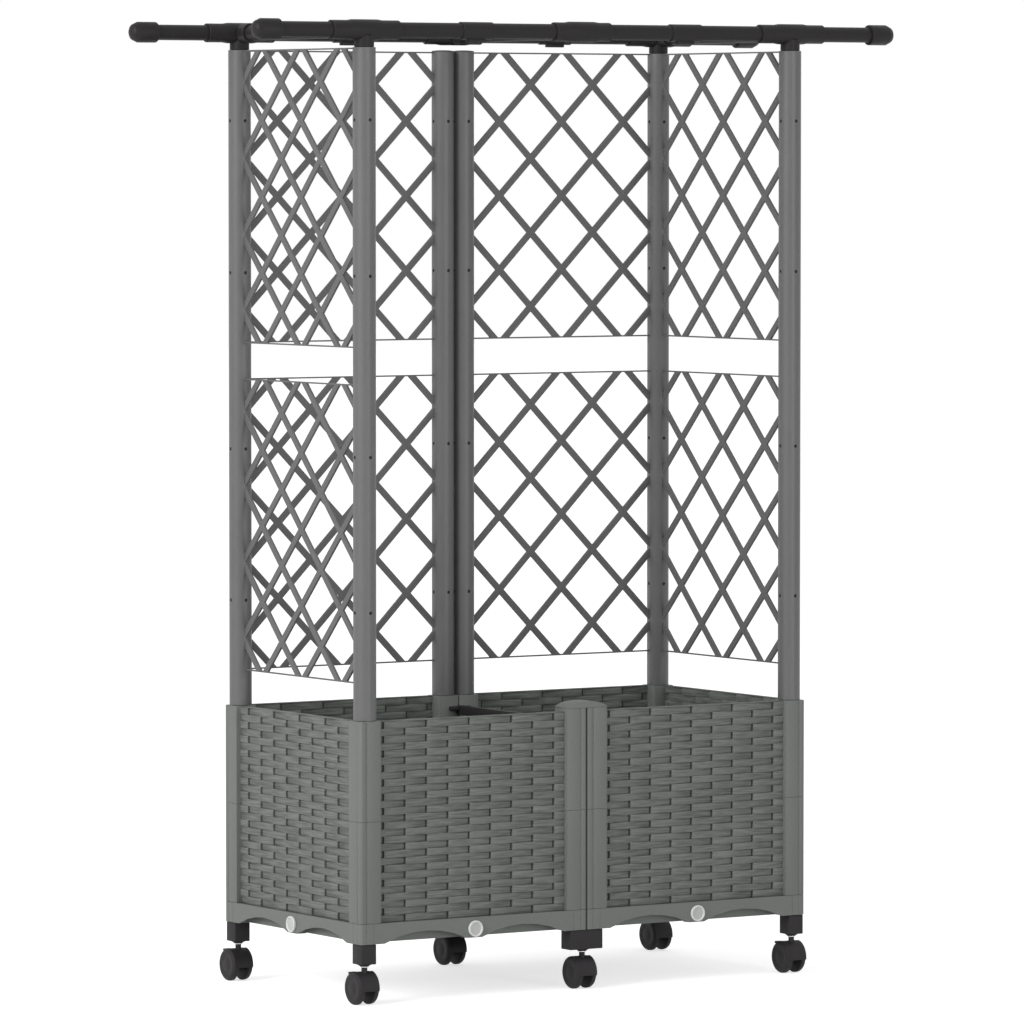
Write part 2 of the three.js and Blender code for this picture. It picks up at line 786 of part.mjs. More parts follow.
// A moulded grid of diagonal strips, in X and Z, with a thin edge at the top and bottom and a tongue on
// each side that enters the post. A crossing lies in the middle of the panel.
function latticePanel(postSpacing) {
  const halfWidth = postSpacing / 2 - postRadius + latticeTongue;
  const halfHeight = latticeHeight / 2;
  const openWidth = postSpacing / 2 - postRadius - seat;
  const openHeight = halfHeight - latticeEdge;
  const halfPitch = latticePitch / 2;
  const reach = halfPitch - stripWidth / Math.SQRT2;
  const half = latticeThickness / 2;
  const past = half + throughCut;
  const panel = solidOf(box(-halfWidth, halfWidth, -half, half, -halfHeight, halfHeight));
  const open = solidOf(box(-openWidth, openWidth, -past, past, -openHeight, openHeight));
  const diamond = solidOf(alongY(polygon([[-reach, 0], [0, -reach], [reach, 0], [0, reach]]), -past, past));
  const holes = [];
  const across = Math.ceil(openWidth / halfPitch);
  const upwards = Math.ceil(openHeight / halfPitch);
  for (let i = -across; i <= across; i += 1) {
    for (let j = -upwards; j <= upwards; j += 1) {
      if ((i + j) % 2 === 0) continue;
      const hole = diamond.translate([i * halfPitch, 0, j * halfPitch]).intersect(open);
      if (hole.volume() > smallestHole * 2 * past) holes.push(hole);
    }
  }
  return geometryOf(without(panel, holes).translate([0, 0, halfHeight]));
}

const backSpacing = postEnd - postSeam;
const sideSpacing = 2 * postSide;
const tiers = { lower: lowerLatticeBottom, upper: upperLatticeBottom };
for (const [tier, z] of Object.entries(tiers)) {
  for (const [side, way] of Object.entries(sides)) {
    const backMiddle = (way * (postEnd + postSeam)) / 2;
    add(`lattice_back_${side}_${tier}`, latticePanel(backSpacing), 'greyPlastic', { x: backMiddle, y: postSide, z });
    const alongEnd = { x: way * postEnd, z, turn: Math.PI / 2 };
    add(`lattice_${side}_${tier}`, latticePanel(sideSpacing), 'greyPlastic', alongEnd);
  }
}

// ---- Roof ----

// A long tube with a cap on each end and two sleeves, each over a joint of the tube.
function roofRail() {
  const bore = railRadius - railWall;
  const capStart = railHalfLength - capLength;
  const [sleeveStart, sleeveEnd] = [sleeveOffset - sleeveLength / 2, sleeveOffset + sleeveLength / 2];
  const outside = [
    [railRadius, sleeveStart],
    [sleeveRadius, sleeveStart],
    [sleeveRadius, sleeveEnd],
    [railRadius, sleeveEnd],
    [railRadius, capStart],
    [capRadius, capStart],
    [capRadius, railHalfLength - capTaper],
    [capTipRadius, railHalfLength],
    [ventRadius, railHalfLength],
  ];
  const half = [...outside, [ventRadius, railHalfLength - capWall], [bore, railHalfLength - capWall]];
  const profile = [...half, ...half.map(([radius, place]) => [radius, -place]).reverse()];
  const tube = solidOf(turnedAlongX(profile, roofSides));
  const bosses = Object.values(sides).map((way) => solidOf(box(
    way * sleeveOffset - sleeveBoss.length / 2,
    way * sleeveOffset + sleeveBoss.length / 2,
    -sleeveBoss.width / 2,
    sleeveBoss.width / 2,
    -sleeveBoss.drop,
    -railRadius + railWall / 2,
  )));
  return geometryOf(joined([tube, ...bosses]));
}

for (const [end, face] of Object.entries(ends)) {
  add(`roof_rail_${end}`, roofRail(), 'blackTube', { y: face * postSide, z: railLevel });
}

// A cross tube with a connector round each rail. Over a corner post a connector also has a stub, whose
// plug goes down into the post.
function crossTube(length, onPosts) {
  const reach = railRadius + connectorFit;
  const bore = crossTubeBore;
  const wall = [[railRadius, -postSide], [railRadius, postSide], [bore, postSide], [bore, -postSide]];
  const solids = [solidOf(turnedAlongY(wall, roofSides))];
  const cutters = [];
  for (const face of Object.values(ends)) {
    const half = length / 2;
    const sleeve = turnedAlongX([
      [0, -half],
      [connectorEndRadius, -half],
      [connectorRadius, -connectorWaist],
      [connectorRadius, connectorWaist],
      [connectorEndRadius, half],
      [0, half],
    ], roofSides);
    solids.push(solidOf(sleeve.translate(0, face * postSide, 0)));
    const past = half + throughCut;
    const hole = turnedAlongX([[0, -past], [reach, -past], [reach, past], [0, past]], roofSides);
    cutters.push(solidOf(hole.translate(0, face * postSide, 0)));
    if (onPosts) solids.push(solidOf(connectorStub().translate(0, face * postSide, 0)));
  }
  const inside = [[0, -postSide], [bore, -postSide], [bore, postSide], [0, postSide]];
  cutters.push(solidOf(turnedAlongY(inside, roofSides)));
  return geometryOf(without(joined(solids), cutters));
}

function connectorStub() {
  const foot = postTop + seat - railLevel;
  const plugRadiusInPost = postRadius - postWall - turnFit;
  return turned([
    [0, foot - stubPlug],
    [plugRadiusInPost, foot - stubPlug],
    [plugRadiusInPost, foot],
    [stubRadius, foot],
    [stubRadius, -railRadius / 2],
    [0, -railRadius / 2],
  ], postSides);
}

add('cross_tube_left', crossTube(connectorLength, true), 'blackTube', { x: -postEnd, z: railLevel });
add('cross_tube_middle', crossTube(middleConnectorLength, false), 'blackTube', { z: railLevel });
add('cross_tube_right', crossTube(connectorLength, true), 'blackTube', { x: postEnd, z: railLevel });

export default planter;
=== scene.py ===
import math
import random

import bmesh
import bpy
from mathutils import Matrix, Vector


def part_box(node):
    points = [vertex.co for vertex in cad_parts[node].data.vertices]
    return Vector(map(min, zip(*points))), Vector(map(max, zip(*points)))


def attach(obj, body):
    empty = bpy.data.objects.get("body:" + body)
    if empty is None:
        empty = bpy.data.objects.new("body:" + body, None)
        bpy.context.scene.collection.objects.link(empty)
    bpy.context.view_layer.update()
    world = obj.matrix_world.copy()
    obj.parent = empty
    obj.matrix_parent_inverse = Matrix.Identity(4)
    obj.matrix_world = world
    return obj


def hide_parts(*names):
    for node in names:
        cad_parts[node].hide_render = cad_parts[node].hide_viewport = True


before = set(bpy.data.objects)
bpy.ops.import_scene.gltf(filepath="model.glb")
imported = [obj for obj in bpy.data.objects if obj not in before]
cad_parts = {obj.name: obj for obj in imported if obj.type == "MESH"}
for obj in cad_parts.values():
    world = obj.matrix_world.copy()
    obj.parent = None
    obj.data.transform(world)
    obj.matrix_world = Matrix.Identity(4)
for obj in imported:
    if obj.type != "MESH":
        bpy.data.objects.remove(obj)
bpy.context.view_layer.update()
trayLow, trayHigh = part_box("tray_left")
shift = (trayLow.y + trayHigh.y) / 2  # the planter's own middle, in metres along Y
mm = 0.001


# Shared places, in millimetres from the middle of the planter's footprint
layout = {
    "halfLength": 396.8,
    "halfDepth": 198.0,
    "moduleGap": 1.6,
    "trayTop": 120.5,
    "columnTop": 419.2,
    "columnWidth": 34.6,
    "panelRecess": 7.0,
    "postX": 379.2,
    "postSeamX": 18.4,
    "postY": 180.4,
    "postTop": 1408.1,
    "railZ": 1433.4,
    "castorX": 382.4,
    "castorY": 183.6,
    "socketBottom": 60.5,
}
sides = {"left": -1, "right": 1}
ends = {"front": -1, "back": 1}


# One value of a shader tree. Plain operators add Math nodes, and node() adds any other node.
class Shade:
    def __init__(self, tree, socket=None):
        self.tree = tree
        self.socket = socket

    def node(self, kind, settings=None, inputs=None, output=0):
        made = self.tree.nodes.new(kind)
        for name, value in (settings or {}).items():
            setattr(made, name, value)
        for name, value in (inputs or {}).items():
            if isinstance(value, Shade):
                self.tree.links.new(value.socket, made.inputs[name])
            else:
                made.inputs[name].default_value = value
        return Shade(self.tree, made.outputs[output] if len(made.outputs) > output else None)

    def maths(self, operation, *values):
        return self.node("ShaderNodeMath", {"operation": operation}, dict(enumerate(values)))

    def __add__(self, other):
        return self.maths("ADD", self, other)

    def __radd__(self, other):
        return self.maths("ADD", other, self)

    def __sub__(self, other):
        return self.maths("SUBTRACT", self, other)

    def __rsub__(self, other):
        return self.maths("SUBTRACT", other, self)

    def __mul__(self, other):
        return self.maths("MULTIPLY", self, other)

    def __rmul__(self, other):
        return self.maths("MULTIPLY", other, self)

    def __truediv__(self, other):
        return self.maths("DIVIDE", self, other)

    def __rtruediv__(self, other):
        return self.maths("DIVIDE", other, self)


def mixColour(shade, share, colourA, colourB):
    return shade.node("ShaderNodeMix", {"data_type": "RGBA"}, {0: share, 6: colourA, 7: colourB}, 2)


def grey(value, tint=(1.0, 1.0, 1.0)):
    return (value * tint[0], value * tint[1], value * tint[2], 1.0)


# What all the plastics share. The depth of the grain is in metres.
plastic = {
    "cloudScale": 14.0,
    "cloudDetail": 4.0,
    "grainDetail": 5.0,
    "roughSpread": 0.12,
    "grainDepth": 0.0004,
}


# A plastic whose colour, roughness and fine surface grain vary a little over the piece.
def makePlastic(name, look):
    material = bpy.data.materials.new(name)
    material.use_nodes = True
    tree = material.node_tree
    shader = tree.nodes["Principled BSDF"]
    shade = Shade(tree)
    place = shade.node("ShaderNodeTexCoord", output=3)
    stretched = shade.node("ShaderNodeMapping", inputs={"Vector": place, "Scale": look["grainScale"]})
    cloud = shade.node("ShaderNodeTexNoise", inputs={
        "Vector": place, "Scale": plastic["cloudScale"], "Detail": plastic["cloudDetail"]})
    grain = shade.node("ShaderNodeTexNoise", inputs={
        "Vector": stretched, "Scale": 1.0, "Detail": plastic["grainDetail"]})
    tone = 0.5 + (cloud - 0.5) * look["cloudShare"] + (grain - 0.5) * look["grainShare"]
    # On the woven panels the tone attribute carries each strand's random tone and the painted shade towards
    # its low end.
    if look.get("toneShare"):
        own = shade.node("ShaderNodeAttribute", {"attribute_name": "tone"}, output=2)
        tone = tone + (own - 0.5) * look["toneShare"]
    colour = mixColour(shade, tone, grey(look["dark"], look["tint"]), grey(look["light"], look["tint"]))
    rough = look["roughness"] + (cloud - 0.5) * plastic["roughSpread"]
    bump = shade.node("ShaderNodeBump", inputs={
        "Strength": look["bump"], "Distance": plastic["grainDepth"], "Height": grain})
    tree.links.new(colour.socket, shader.inputs["Base Color"])
    tree.links.new(rough.socket, shader.inputs["Roughness"])
    tree.links.new(bump.socket, shader.inputs["Normal"])
    shader.inputs["Specular IOR Level"].default_value = look["specular"]
    return material


looks = {
    "greyPlastic": {"dark": 0.130, "light": 0.178, "tint": (1.0, 1.06, 1.005), "roughness": 0.6,
                    "specular": 0.35, "cloudShare": 0.6, "grainShare": 0.6, "bump": 0.25,
                    "grainScale": (260.0, 260.0, 260.0)},
    "wovenPlastic": {"dark": 0.078, "light": 0.192, "tint": (1.0, 1.07, 1.0), "roughness": 0.64,
                     "specular": 0.25, "cloudShare": 0.4, "grainShare": 2.0, "toneShare": 0.4, "bump": 0.6,
                     "grainScale": (30.0, 30.0, 420.0)},
    # Painted shade: the dark plate that shows in the notches between the strands
    "paintedNotchShade": {"dark": 0.040, "light": 0.060, "tint": (1.0, 1.03, 1.0), "roughness": 0.8,
                    "specular": 0.1, "cloudShare": 0.4, "grainShare": 0.6, "bump": 0.1,
                    "grainScale": (200.0, 200.0, 200.0)},
    "postPlastic": {"dark": 0.098, "light": 0.134, "tint": (1.0, 1.0, 1.005), "roughness": 0.42,
                    "specular": 0.45, "cloudShare": 0.6, "grainShare": 0.6, "bump": 0.15,
                    "grainScale": (260.0, 260.0, 60.0)},
    "latticePlastic": {"dark": 0.105, "light": 0.150, "tint": (1.0, 0.985, 1.01), "roughness": 0.6,
                       "specular": 0.3, "cloudShare": 0.6, "grainShare": 0.6, "bump": 0.2,
                       "grainScale": (300.0, 300.0, 300.0)},
    "blackPlastic": {"dark": 0.018, "light": 0.028, "tint": (1.05, 0.96, 1.04), "roughness": 0.58,
                     "specular": 0.2, "cloudShare": 0.7, "grainShare": 0.6, "bump": 0.2,
                     "grainScale": (300.0, 300.0, 300.0)},
    "blackTube": {"dark": 0.011, "light": 0.018, "tint": (1.07, 0.95, 1.05), "roughness": 0.5,
                  "specular": 0.2, "cloudShare": 0.6, "grainShare": 0.5, "bump": 0.12,
                  "grainScale": (60.0, 300.0, 300.0)},
    "plugPlastic": {"dark": 0.64, "light": 0.74, "tint": (1.0, 1.01, 0.99), "roughness": 0.5,
                    "specular": 0.4, "cloudShare": 0.6, "grainShare": 0.5, "bump": 0.1,
                    "grainScale": (200.0, 200.0, 200.0)},
    "plugMiddle": {"dark": 0.47, "light": 0.55, "tint": (1.0, 1.01, 0.99), "roughness": 0.55,
                   "specular": 0.3, "cloudShare": 0.6, "grainShare": 0.8, "bump": 0.15,
                   "grainScale": (200.0, 200.0, 200.0)},
}
materials = {name: makePlastic(name, look) for name, look in looks.items()}

steel = {"dark": 0.55, "light": 0.75, "roughness": 0.22, "roughSpread": 0.2, "brushing": (60.0, 60.0, 1500.0)}


# Brushed steel of the rings under the sockets.
def makeSteel(name):
    material = bpy.data.materials.new(name)
    material.use_nodes = True
    tree = material.node_tree
    shader = tree.nodes["Principled BSDF"]
    shade = Shade(tree)
    place = shade.node("ShaderNodeTexCoord", output=3)
    lines = shade.node("ShaderNodeMapping", inputs={"Vector": place, "Scale": steel["brushing"]})
    brushed = shade.node("ShaderNodeTexNoise", inputs={"Vector": lines, "Scale": 1.0, "Detail": 3.0})
    rough = steel["roughness"] + brushed * steel["roughSpread"]
    colour = mixColour(shade, brushed, grey(steel["dark"]), grey(steel["light"]))
    tree.links.new(colour.socket, shader.inputs["Base Color"])
    tree.links.new(rough.socket, shader.inputs["Roughness"])
    shader.inputs["Metallic"].default_value = 1.0
    return material


materials["steel"] = makeSteel("steel")
print("materials made")


# The modelling functions from here on work in millimetres, and finishPiece turns them into metres.
# This one gives the points of an arc, with its angles in degrees.
def arc(centreX, centreY, radius, start, stop, steps):
    turns = [math.radians(start + (stop - start) * i / steps) for i in range(steps + 1)]
    return [(centreX + radius * math.cos(turn), centreY + radius * math.sin(turn)) for turn in turns]


# A flat outline in X and Y, raised to a height.
def extrudeOutline(mesh, points, bottom, top):
    face = mesh.faces.new([mesh.verts.new((x, y, bottom)) for x, y in points])
    raised = bmesh.ops.extrude_face_region(mesh, geom=[face])["geom"]
    verts = [item for item in raised if isinstance(item, bmesh.types.BMVert)]
    bmesh.ops.translate(mesh, verts=verts, vec=(0, 0, top - bottom))
    return grow(verts)


# Each item once, in the order in which it first came, so that every run gives the same mesh.
def once(items):
    return list(dict.fromkeys(items))


# All vertices that hang together with these.
def grow(verts):
    found = dict.fromkeys(verts)
    queue = list(verts)
    while queue:
        for edge in queue.pop().link_edges:
            for vert in edge.verts:
                if vert not in found:
                    found[vert] = True
                    queue.append(vert)
    return list(found)


# A profile of (radius, height) pairs spun round Z. Points at radius 0 close the ends.
def spinProfile(mesh, points, steps=48):
    verts = [mesh.verts.new((radius, 0, height)) for radius, height in points]
    edges = [mesh.edges.new(pair) for pair in zip(verts, verts[1:])]
    if points[0][0] > 0:
        edges.append(mesh.edges.new((verts[-1], verts[0])))
    bmesh.ops.spin(mesh, geom=verts + edges, cent=(0, 0, 0), axis=(0, 0, 1), angle=math.tau, steps=steps,
                   use_merge=True)
    made = grow(verts)
    bmesh.ops.remove_doubles(mesh, verts=made, dist=0.0001)
    return [vert for vert in made if vert.is_valid]


# A box between two corners. With a radius its edges are rounded.
def roundedBox(mesh, low, high, radius, segments=3):
    made = bmesh.ops.create_cube(mesh, size=1.0)["verts"]
    size = Vector(high) - Vector(low)
    bmesh.ops.scale(mesh, verts=made, vec=size)
    bmesh.ops.translate(mesh, verts=made, vec=(Vector(high) + Vector(low)) / 2)
    if radius:
        edges = once(edge for vert in made for edge in vert.link_edges)
        made = bmesh.ops.bevel(mesh, geom=edges, offset=radius, segments=segments, profile=0.5,
                               affect="EDGES", material=-1)["verts"]
        made = grow(made)
    return made


# Rounds every edge that is sharper than the angle and that keep() lets through.
def roundEdges(mesh, width, segments=2, angle=30.0, keep=None):
    bmesh.ops.recalc_face_normals(mesh, faces=mesh.faces)
    sharp = [edge for edge in mesh.edges if edge.is_manifold and
             edge.calc_face_angle(0.0) > math.radians(angle) and (keep is None or keep(edge))]
    bmesh.ops.bevel(mesh, geom=sharp, offset=width, segments=segments, profile=0.5, affect="EDGES",
                    clamp_overlap=True, material=-1)


# Lays what stands along Z down along X or Y.
def turnX(mesh, verts):
    bmesh.ops.rotate(mesh, verts=verts, cent=(0, 0, 0), matrix=Matrix.Rotation(math.pi / 2, 3, "Y"))


def turnY(mesh, verts):
    bmesh.ops.rotate(mesh, verts=verts, cent=(0, 0, 0), matrix=Matrix.Rotation(-math.pi / 2, 3, "X"))


# Stands an outline that was drawn with Y and Z as its two measures up in that plane, thick along X.
def standUp(mesh, verts):
    bmesh.ops.rotate(mesh, verts=verts, cent=(0, 0, 0), matrix=Matrix(((0, 0, 1), (1, 0, 0), (0, 1, 0))))


# Turns the working mesh into a piece of the scene that rides on a body and may stand for nodes of it.
def finishPiece(mesh, name, finishes, body, stands=(), smooth=35.0):
    bmesh.ops.recalc_face_normals(mesh, faces=mesh.faces)
    bmesh.ops.scale(mesh, verts=mesh.verts, vec=(mm, mm, mm))
    bmesh.ops.translate(mesh, verts=mesh.verts, vec=(0, shift, 0))
    data = bpy.data.meshes.new(name)
    mesh.to_mesh(data)
    mesh.free()
    data.shade_smooth()
    data.set_sharp_from_angle(angle=math.radians(smooth))
    for finish in finishes:
        data.materials.append(materials[finish])
    piece = bpy.data.objects.new(name, data)
    bpy.context.scene.collection.objects.link(piece)
    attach(piece, body)
    if stands:
        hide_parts(*stands)
    return piece


# Turns about Z, then mirrors, then moves.
def placed(mesh, verts, x=0.0, y=0.0, z=0.0, turn=0.0, mirrorX=1, mirrorY=1):
    if turn:
        bmesh.ops.rotate(mesh, verts=verts, cent=(0, 0, 0), matrix=Matrix.Rotation(turn, 3, "Z"))
    if mirrorX != 1 or mirrorY != 1:
        bmesh.ops.scale(mesh, verts=verts, vec=(mirrorX, mirrorY, 1))
    bmesh.ops.translate(mesh, verts=verts, vec=(x, y, z))


# Trays, which keep their own mesh and get welded corners and softened edges
tray = {"weld": 0.02, "edge": 0.8, "segments": 2, "angle": 40.0}

for side in sides:
    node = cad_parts["tray_" + side]
    node.data.materials.clear()
    node.data.materials.append(materials["greyPlastic"])
    weld = node.modifiers.new("weld", "WELD")
    weld.merge_threshold = tray["weld"] * mm
    bevel = node.modifiers.new("bevel", "BEVEL")
    bevel.width = tray["edge"] * mm
    bevel.segments = tray["segments"]
    bevel.limit_method = "ANGLE"
    bevel.angle_limit = math.radians(tray["angle"])
print("trays made")


# Woven side panels
weave = {
    "rows": 28,
    "strandPitch": 74.6,
    "longPhase": -5.0,
    "sidePhase": 7.2,
    "notch": 2.8,
    "depth": 3.0,
    "dipStart": 0.28,
    "dipPower": 1.3,
    "startLength": 0.07,
    "startDip": 1.2,
    "edgeDip": 0.7,
    "edgePower": 5.0,
    "rowGap": 0.1,
    "thickness": 8.0,
    "backing": 3.8,
    "plateGroove": 2.3,
    "plateFoot": 2.7,
    "plateTop": 0.6,
    "rimHeight": 1.9,
    "rimInset": 0.4,
    "rimEdge": 0.5,
    "stations": 18,
    "ribs": 6,
    "ribSpread": 0.6,
    # Painted shade that darkens each strand towards its low end, then the random tone of each strand
    "paintedShadeFall": 0.75,
    "paintedShadePower": 1.4,
    "toneSpread": 0.35,
}
moduleMiddle = layout["halfLength"] / 2 + layout["moduleGap"] / 4
span = 2 * layout["halfDepth"] - 2 * layout["columnWidth"]  # length of a panel between its columns
panelX = layout["halfLength"] - layout["panelRecess"]
panelY = layout["halfDepth"] - layout["panelRecess"]


# How far a strand lies behind its crest, from its high end at 0 to its low end at 1: it comes forward at
# once and then sinks slowly under its neighbour.
def strandDip(share):
    sink = max(0.0, (share - weave["dipStart"]) / (1 - weave["dipStart"])) ** weave["dipPower"]
    start = max(0.0, 1 - share / weave["startLength"]) ** 2
    return weave["depth"] * sink + weave["startDip"] * start


# One strand along X, with rounded long edges. Its tone falls towards its low end as painted shade, where it
# sinks under its neighbour and turns away from the light.
def makeStrand(mesh, rowHeight, lowSide):
    half = (weave["strandPitch"] - weave["notch"]) / 2
    tall = rowHeight / 2 - weave["rowGap"] / 2
    tone = mesh.verts.layers.float["tone"]
    strand = bmesh.ops.create_grid(mesh, x_segments=weave["stations"], y_segments=weave["ribs"],
                                   size=1.0)["verts"]
    rim = once(edge for vert in strand for edge in vert.link_edges if edge.is_boundary)
    for vert in strand:
        along, up = vert.co.x, vert.co.y
        share = (1 + lowSide * along) / 2
        up = math.copysign(abs(up) ** weave["ribSpread"], up)
        fall = weave["edgeDip"] * abs(up) ** weave["edgePower"]
        vert.co = (along * half, strandDip(share) + fall, up * tall)
        # Painted shade: the tone falls towards the low end of the strand
        vert[tone] = weave["paintedShadeFall"] * (0.5 - share ** weave["paintedShadePower"])
    back = bmesh.ops.extrude_edge_only(mesh, edges=rim)["geom"]
    for vert in back:
        if isinstance(vert, bmesh.types.BMVert):
            vert.co.y = weave["thickness"] / 2
    bmesh.ops.holes_fill(mesh, edges=[edge for edge in back if isinstance(edge, bmesh.types.BMEdge)])
    return grow(strand)


# The strands of one face of a panel that looks towards -Y, with its crests at y = 0. Every other row
# starts half a strand further on.
def makeStrands(mesh, phase, lowSide, chance):
    bottom = layout["trayTop"]
    rowHeight = (layout["columnTop"] - weave["rimHeight"] - bottom) / weave["rows"]
    tone = mesh.verts.layers.float["tone"]
    pattern = makeStrand(mesh, rowHeight, lowSide)
    geometry = (pattern + once(edge for vert in pattern for edge in vert.link_edges) +
                once(face for vert in pattern for face in vert.link_faces))
    made = []
    pitch = weave["strandPitch"]
    for row in range(weave["rows"]):
        level = bottom + rowHeight * (row + 0.5)
        first = phase + (pitch / 2 if row % 2 else 0)
        number = math.ceil((-span / 2 - first - pitch / 2) / pitch)
        while first + number * pitch < span / 2 + pitch / 2:
            copy = bmesh.ops.duplicate(mesh, geom=geometry)["geom"]
            verts = [item for item in copy if isinstance(item, bmesh.types.BMVert)]
            bmesh.ops.translate(mesh, verts=verts, vec=(first + number * pitch, 0, level))
            own = 0.5 + weave["toneSpread"] * (chance.random() - 0.5)
            for vert in verts:
                vert[tone] += own
            made += copy
            number += 1
    bmesh.ops.delete(mesh, geom=pattern, context="VERTS")
    for way in (-1, 1):
        cut = [item for item in made if item.is_valid]
        result = bmesh.ops.bisect_plane(mesh, geom=cut, plane_co=(way * span / 2, 0, 0), plane_no=(way, 0, 0),
                                        clear_outer=True)
        made = [item for item in cut if item.is_valid] + result["geom"] + result["geom_cut"]
        made = once(item for item in made if item.is_valid)


# A whole panel before it goes to its place. The thin plate between its two faces shows in the notches between
# the strands, and its dark colour is painted shade for those deep notches.
def makePattern(phase, lowSide, seed):
    chance = random.Random(seed)
    mesh = bmesh.new()
    mesh.verts.layers.float.new("tone")
    makeStrands(mesh, phase, lowSide, chance)
    outer = set(mesh.verts)
    makeStrands(mesh, phase + weave["strandPitch"] / 2, lowSide, chance)
    inner = [vert for vert in mesh.verts if vert not in outer]
    bmesh.ops.scale(mesh, verts=inner, vec=(1, -1, 1))
    bmesh.ops.translate(mesh, verts=inner, vec=(0, weave["thickness"], 0))
    top = layout["columnTop"]
    reach, front = span / 2 + weave["plateGroove"], weave["backing"]
    plate = roundedBox(mesh, (-reach, front, layout["trayTop"] - weave["plateFoot"]),
                       (reach, weave["thickness"] - front, top - weave["plateTop"]), 0)
    # The plate takes the dark second finish, painted shade for the notches
    for item in once(item for vert in plate for item in vert.link_faces):
        item.material_index = 1
    rim = roundedBox(mesh, (-span / 2, weave["rimInset"], top - weave["rimHeight"]),
                     (span / 2, weave["thickness"] - weave["rimInset"], top), weave["rimEdge"], 2)
    tone = mesh.verts.layers.float["tone"]
    for vert in rim:
        vert[tone] = 0.5
    data = bpy.data.meshes.new("pattern")
    mesh.to_mesh(data)
    mesh.free()
    return data


# A copy of the pattern at its place in the box.
def makeWovenPanel(name, pattern, place):
    mesh = bmesh.new()
    mesh.from_mesh(pattern)
    placed(mesh, mesh.verts, **place)
    finishPiece(mesh, name + "_weave", ["wovenPlastic", "paintedNotchShade"], "planter", [name], 60.0)


longPattern = makePattern(weave["longPhase"], 1, 3)
sidePattern = makePattern(weave["sidePhase"], -1, 5)
for side, way in sides.items():
    x = way * moduleMiddle
    makeWovenPanel("woven_panel_front_" + side, longPattern, {"x": x, "y": -panelY})
    makeWovenPanel("woven_panel_back_" + side, longPattern, {"x": x, "y": panelY, "turn": math.pi})
    makeWovenPanel("woven_panel_" + side, sidePattern, {"x": way * panelX, "turn": way * math.pi / 2})
for pattern in (longPattern, sidePattern):
    bpy.data.meshes.remove(pattern)
print("woven panels made")


# Columns at the corners and where the modules meet
column = {
    "cornerRadius": 3.5,
    "fluteInset": 10.3,
    "fluteWidth": 3.0,
    "fluteDepth": 1.2,
    "lift": 0.3,
    "joint": 271.0,
    "jointGap": 0.3,
    "jointEdge": 0.25,
    "edge": 0.7,
    "sharp": 50.0,
}


# A flute across a face that runs along X, from low X to high X.
def fluteLine():
    half, depth = column["fluteWidth"] / 2, column["fluteDepth"]
    radius = (half ** 2 + depth ** 2) / (2 * depth)
    lift = math.degrees(math.asin((radius - depth) / radius))
    return arc(column["fluteInset"], depth - radius, radius, 180 - lift, lift, 6)


# Outline of a column, outer corner of its module at the origin: rounded corner between two flutes.
def columnOutline():
    width, radius = layout["columnWidth"], column["cornerRadius"]
    points = arc(radius, radius, radius, 180, 270, 8) + fluteLine()
    points += [(width, 0), (width, width), (0, width)]
    return points + [(y, x) for x, y in reversed(fluteLine())]


# Two stacked lengths with a fine joint between them, up to the given top.
def makeColumn(mesh, top):
    joint, gap = column["joint"], column["jointGap"] / 2
    made = extrudeOutline(mesh, columnOutline(), layout["trayTop"] + column["lift"], joint - gap)
    return made + extrudeOutline(mesh, columnOutline(), joint + gap, top)


# The edges at the joint are softened less than the rest, so that the joint stays a fine line.
def atJoint(edge):
    return all(abs(vert.co.z - column["joint"]) < 1.0 for vert in edge.verts)


def roundColumns(mesh):
    roundEdges(mesh, column["edge"], 2, column["sharp"], lambda edge: not atJoint(edge))
    roundEdges(mesh, column["jointEdge"], 1, column["sharp"], atJoint)


for side, way in sides.items():
    for end, towards in ends.items():
        mesh = bmesh.new()
        makeColumn(mesh, layout["columnTop"])
        roundColumns(mesh)
        placed(mesh, mesh.verts, x=way * layout["halfLength"], y=towards * layout["halfDepth"],
               mirrorX=-way, mirrorY=-towards)
        name = "corner_column_" + end + "_" + side
        finishPiece(mesh, name + "_body", ["greyPlastic"], "planter", [name])

# Joining cap. The front middle columns reach up to its bottom.
cap = {
    "length": 70.2,
    "depth": 34.0,
    "setBack": 0.3,
    "bottom": 423.6,
    "gap": 0.05,
    "top": 433.2,
    "crown": 7.5,
    "crownPower": 3,
    "steps": 24,
    "edge": 0.8,
}

# Castor sockets
socket = {
    "width": 26.0,
    "doubleLength": 58.0,
    "top": 89.9,
    "edge": 1.2,
    "collarTop": 11.4,
    "collarBottom": 6.0,
    "collarHeight": 3.3,
    "collarRoot": 2.0,
}


# A block with a cone-shaped collar under it, in which the castor's stem turns.
def makeSocket(name, length, x, y, stands=()):
    mesh = bmesh.new()
    half = socket["width"] / 2
    bottom, wide, slim = layout["socketBottom"], socket["collarTop"], socket["collarBottom"]
    root, foot = bottom + socket["collarRoot"], bottom - socket["collarHeight"]
    roundedBox(mesh, (-length / 2, -half, bottom), (length / 2, half, socket["top"]), socket["edge"])
    spinProfile(mesh, [(0, root), (wide, root), (wide, bottom), (slim, foot), (0, foot)], 32)
    placed(mesh, mesh.verts, x=x, y=y)
    finishPiece(mesh, name, ["blackPlastic"], "planter", stands)


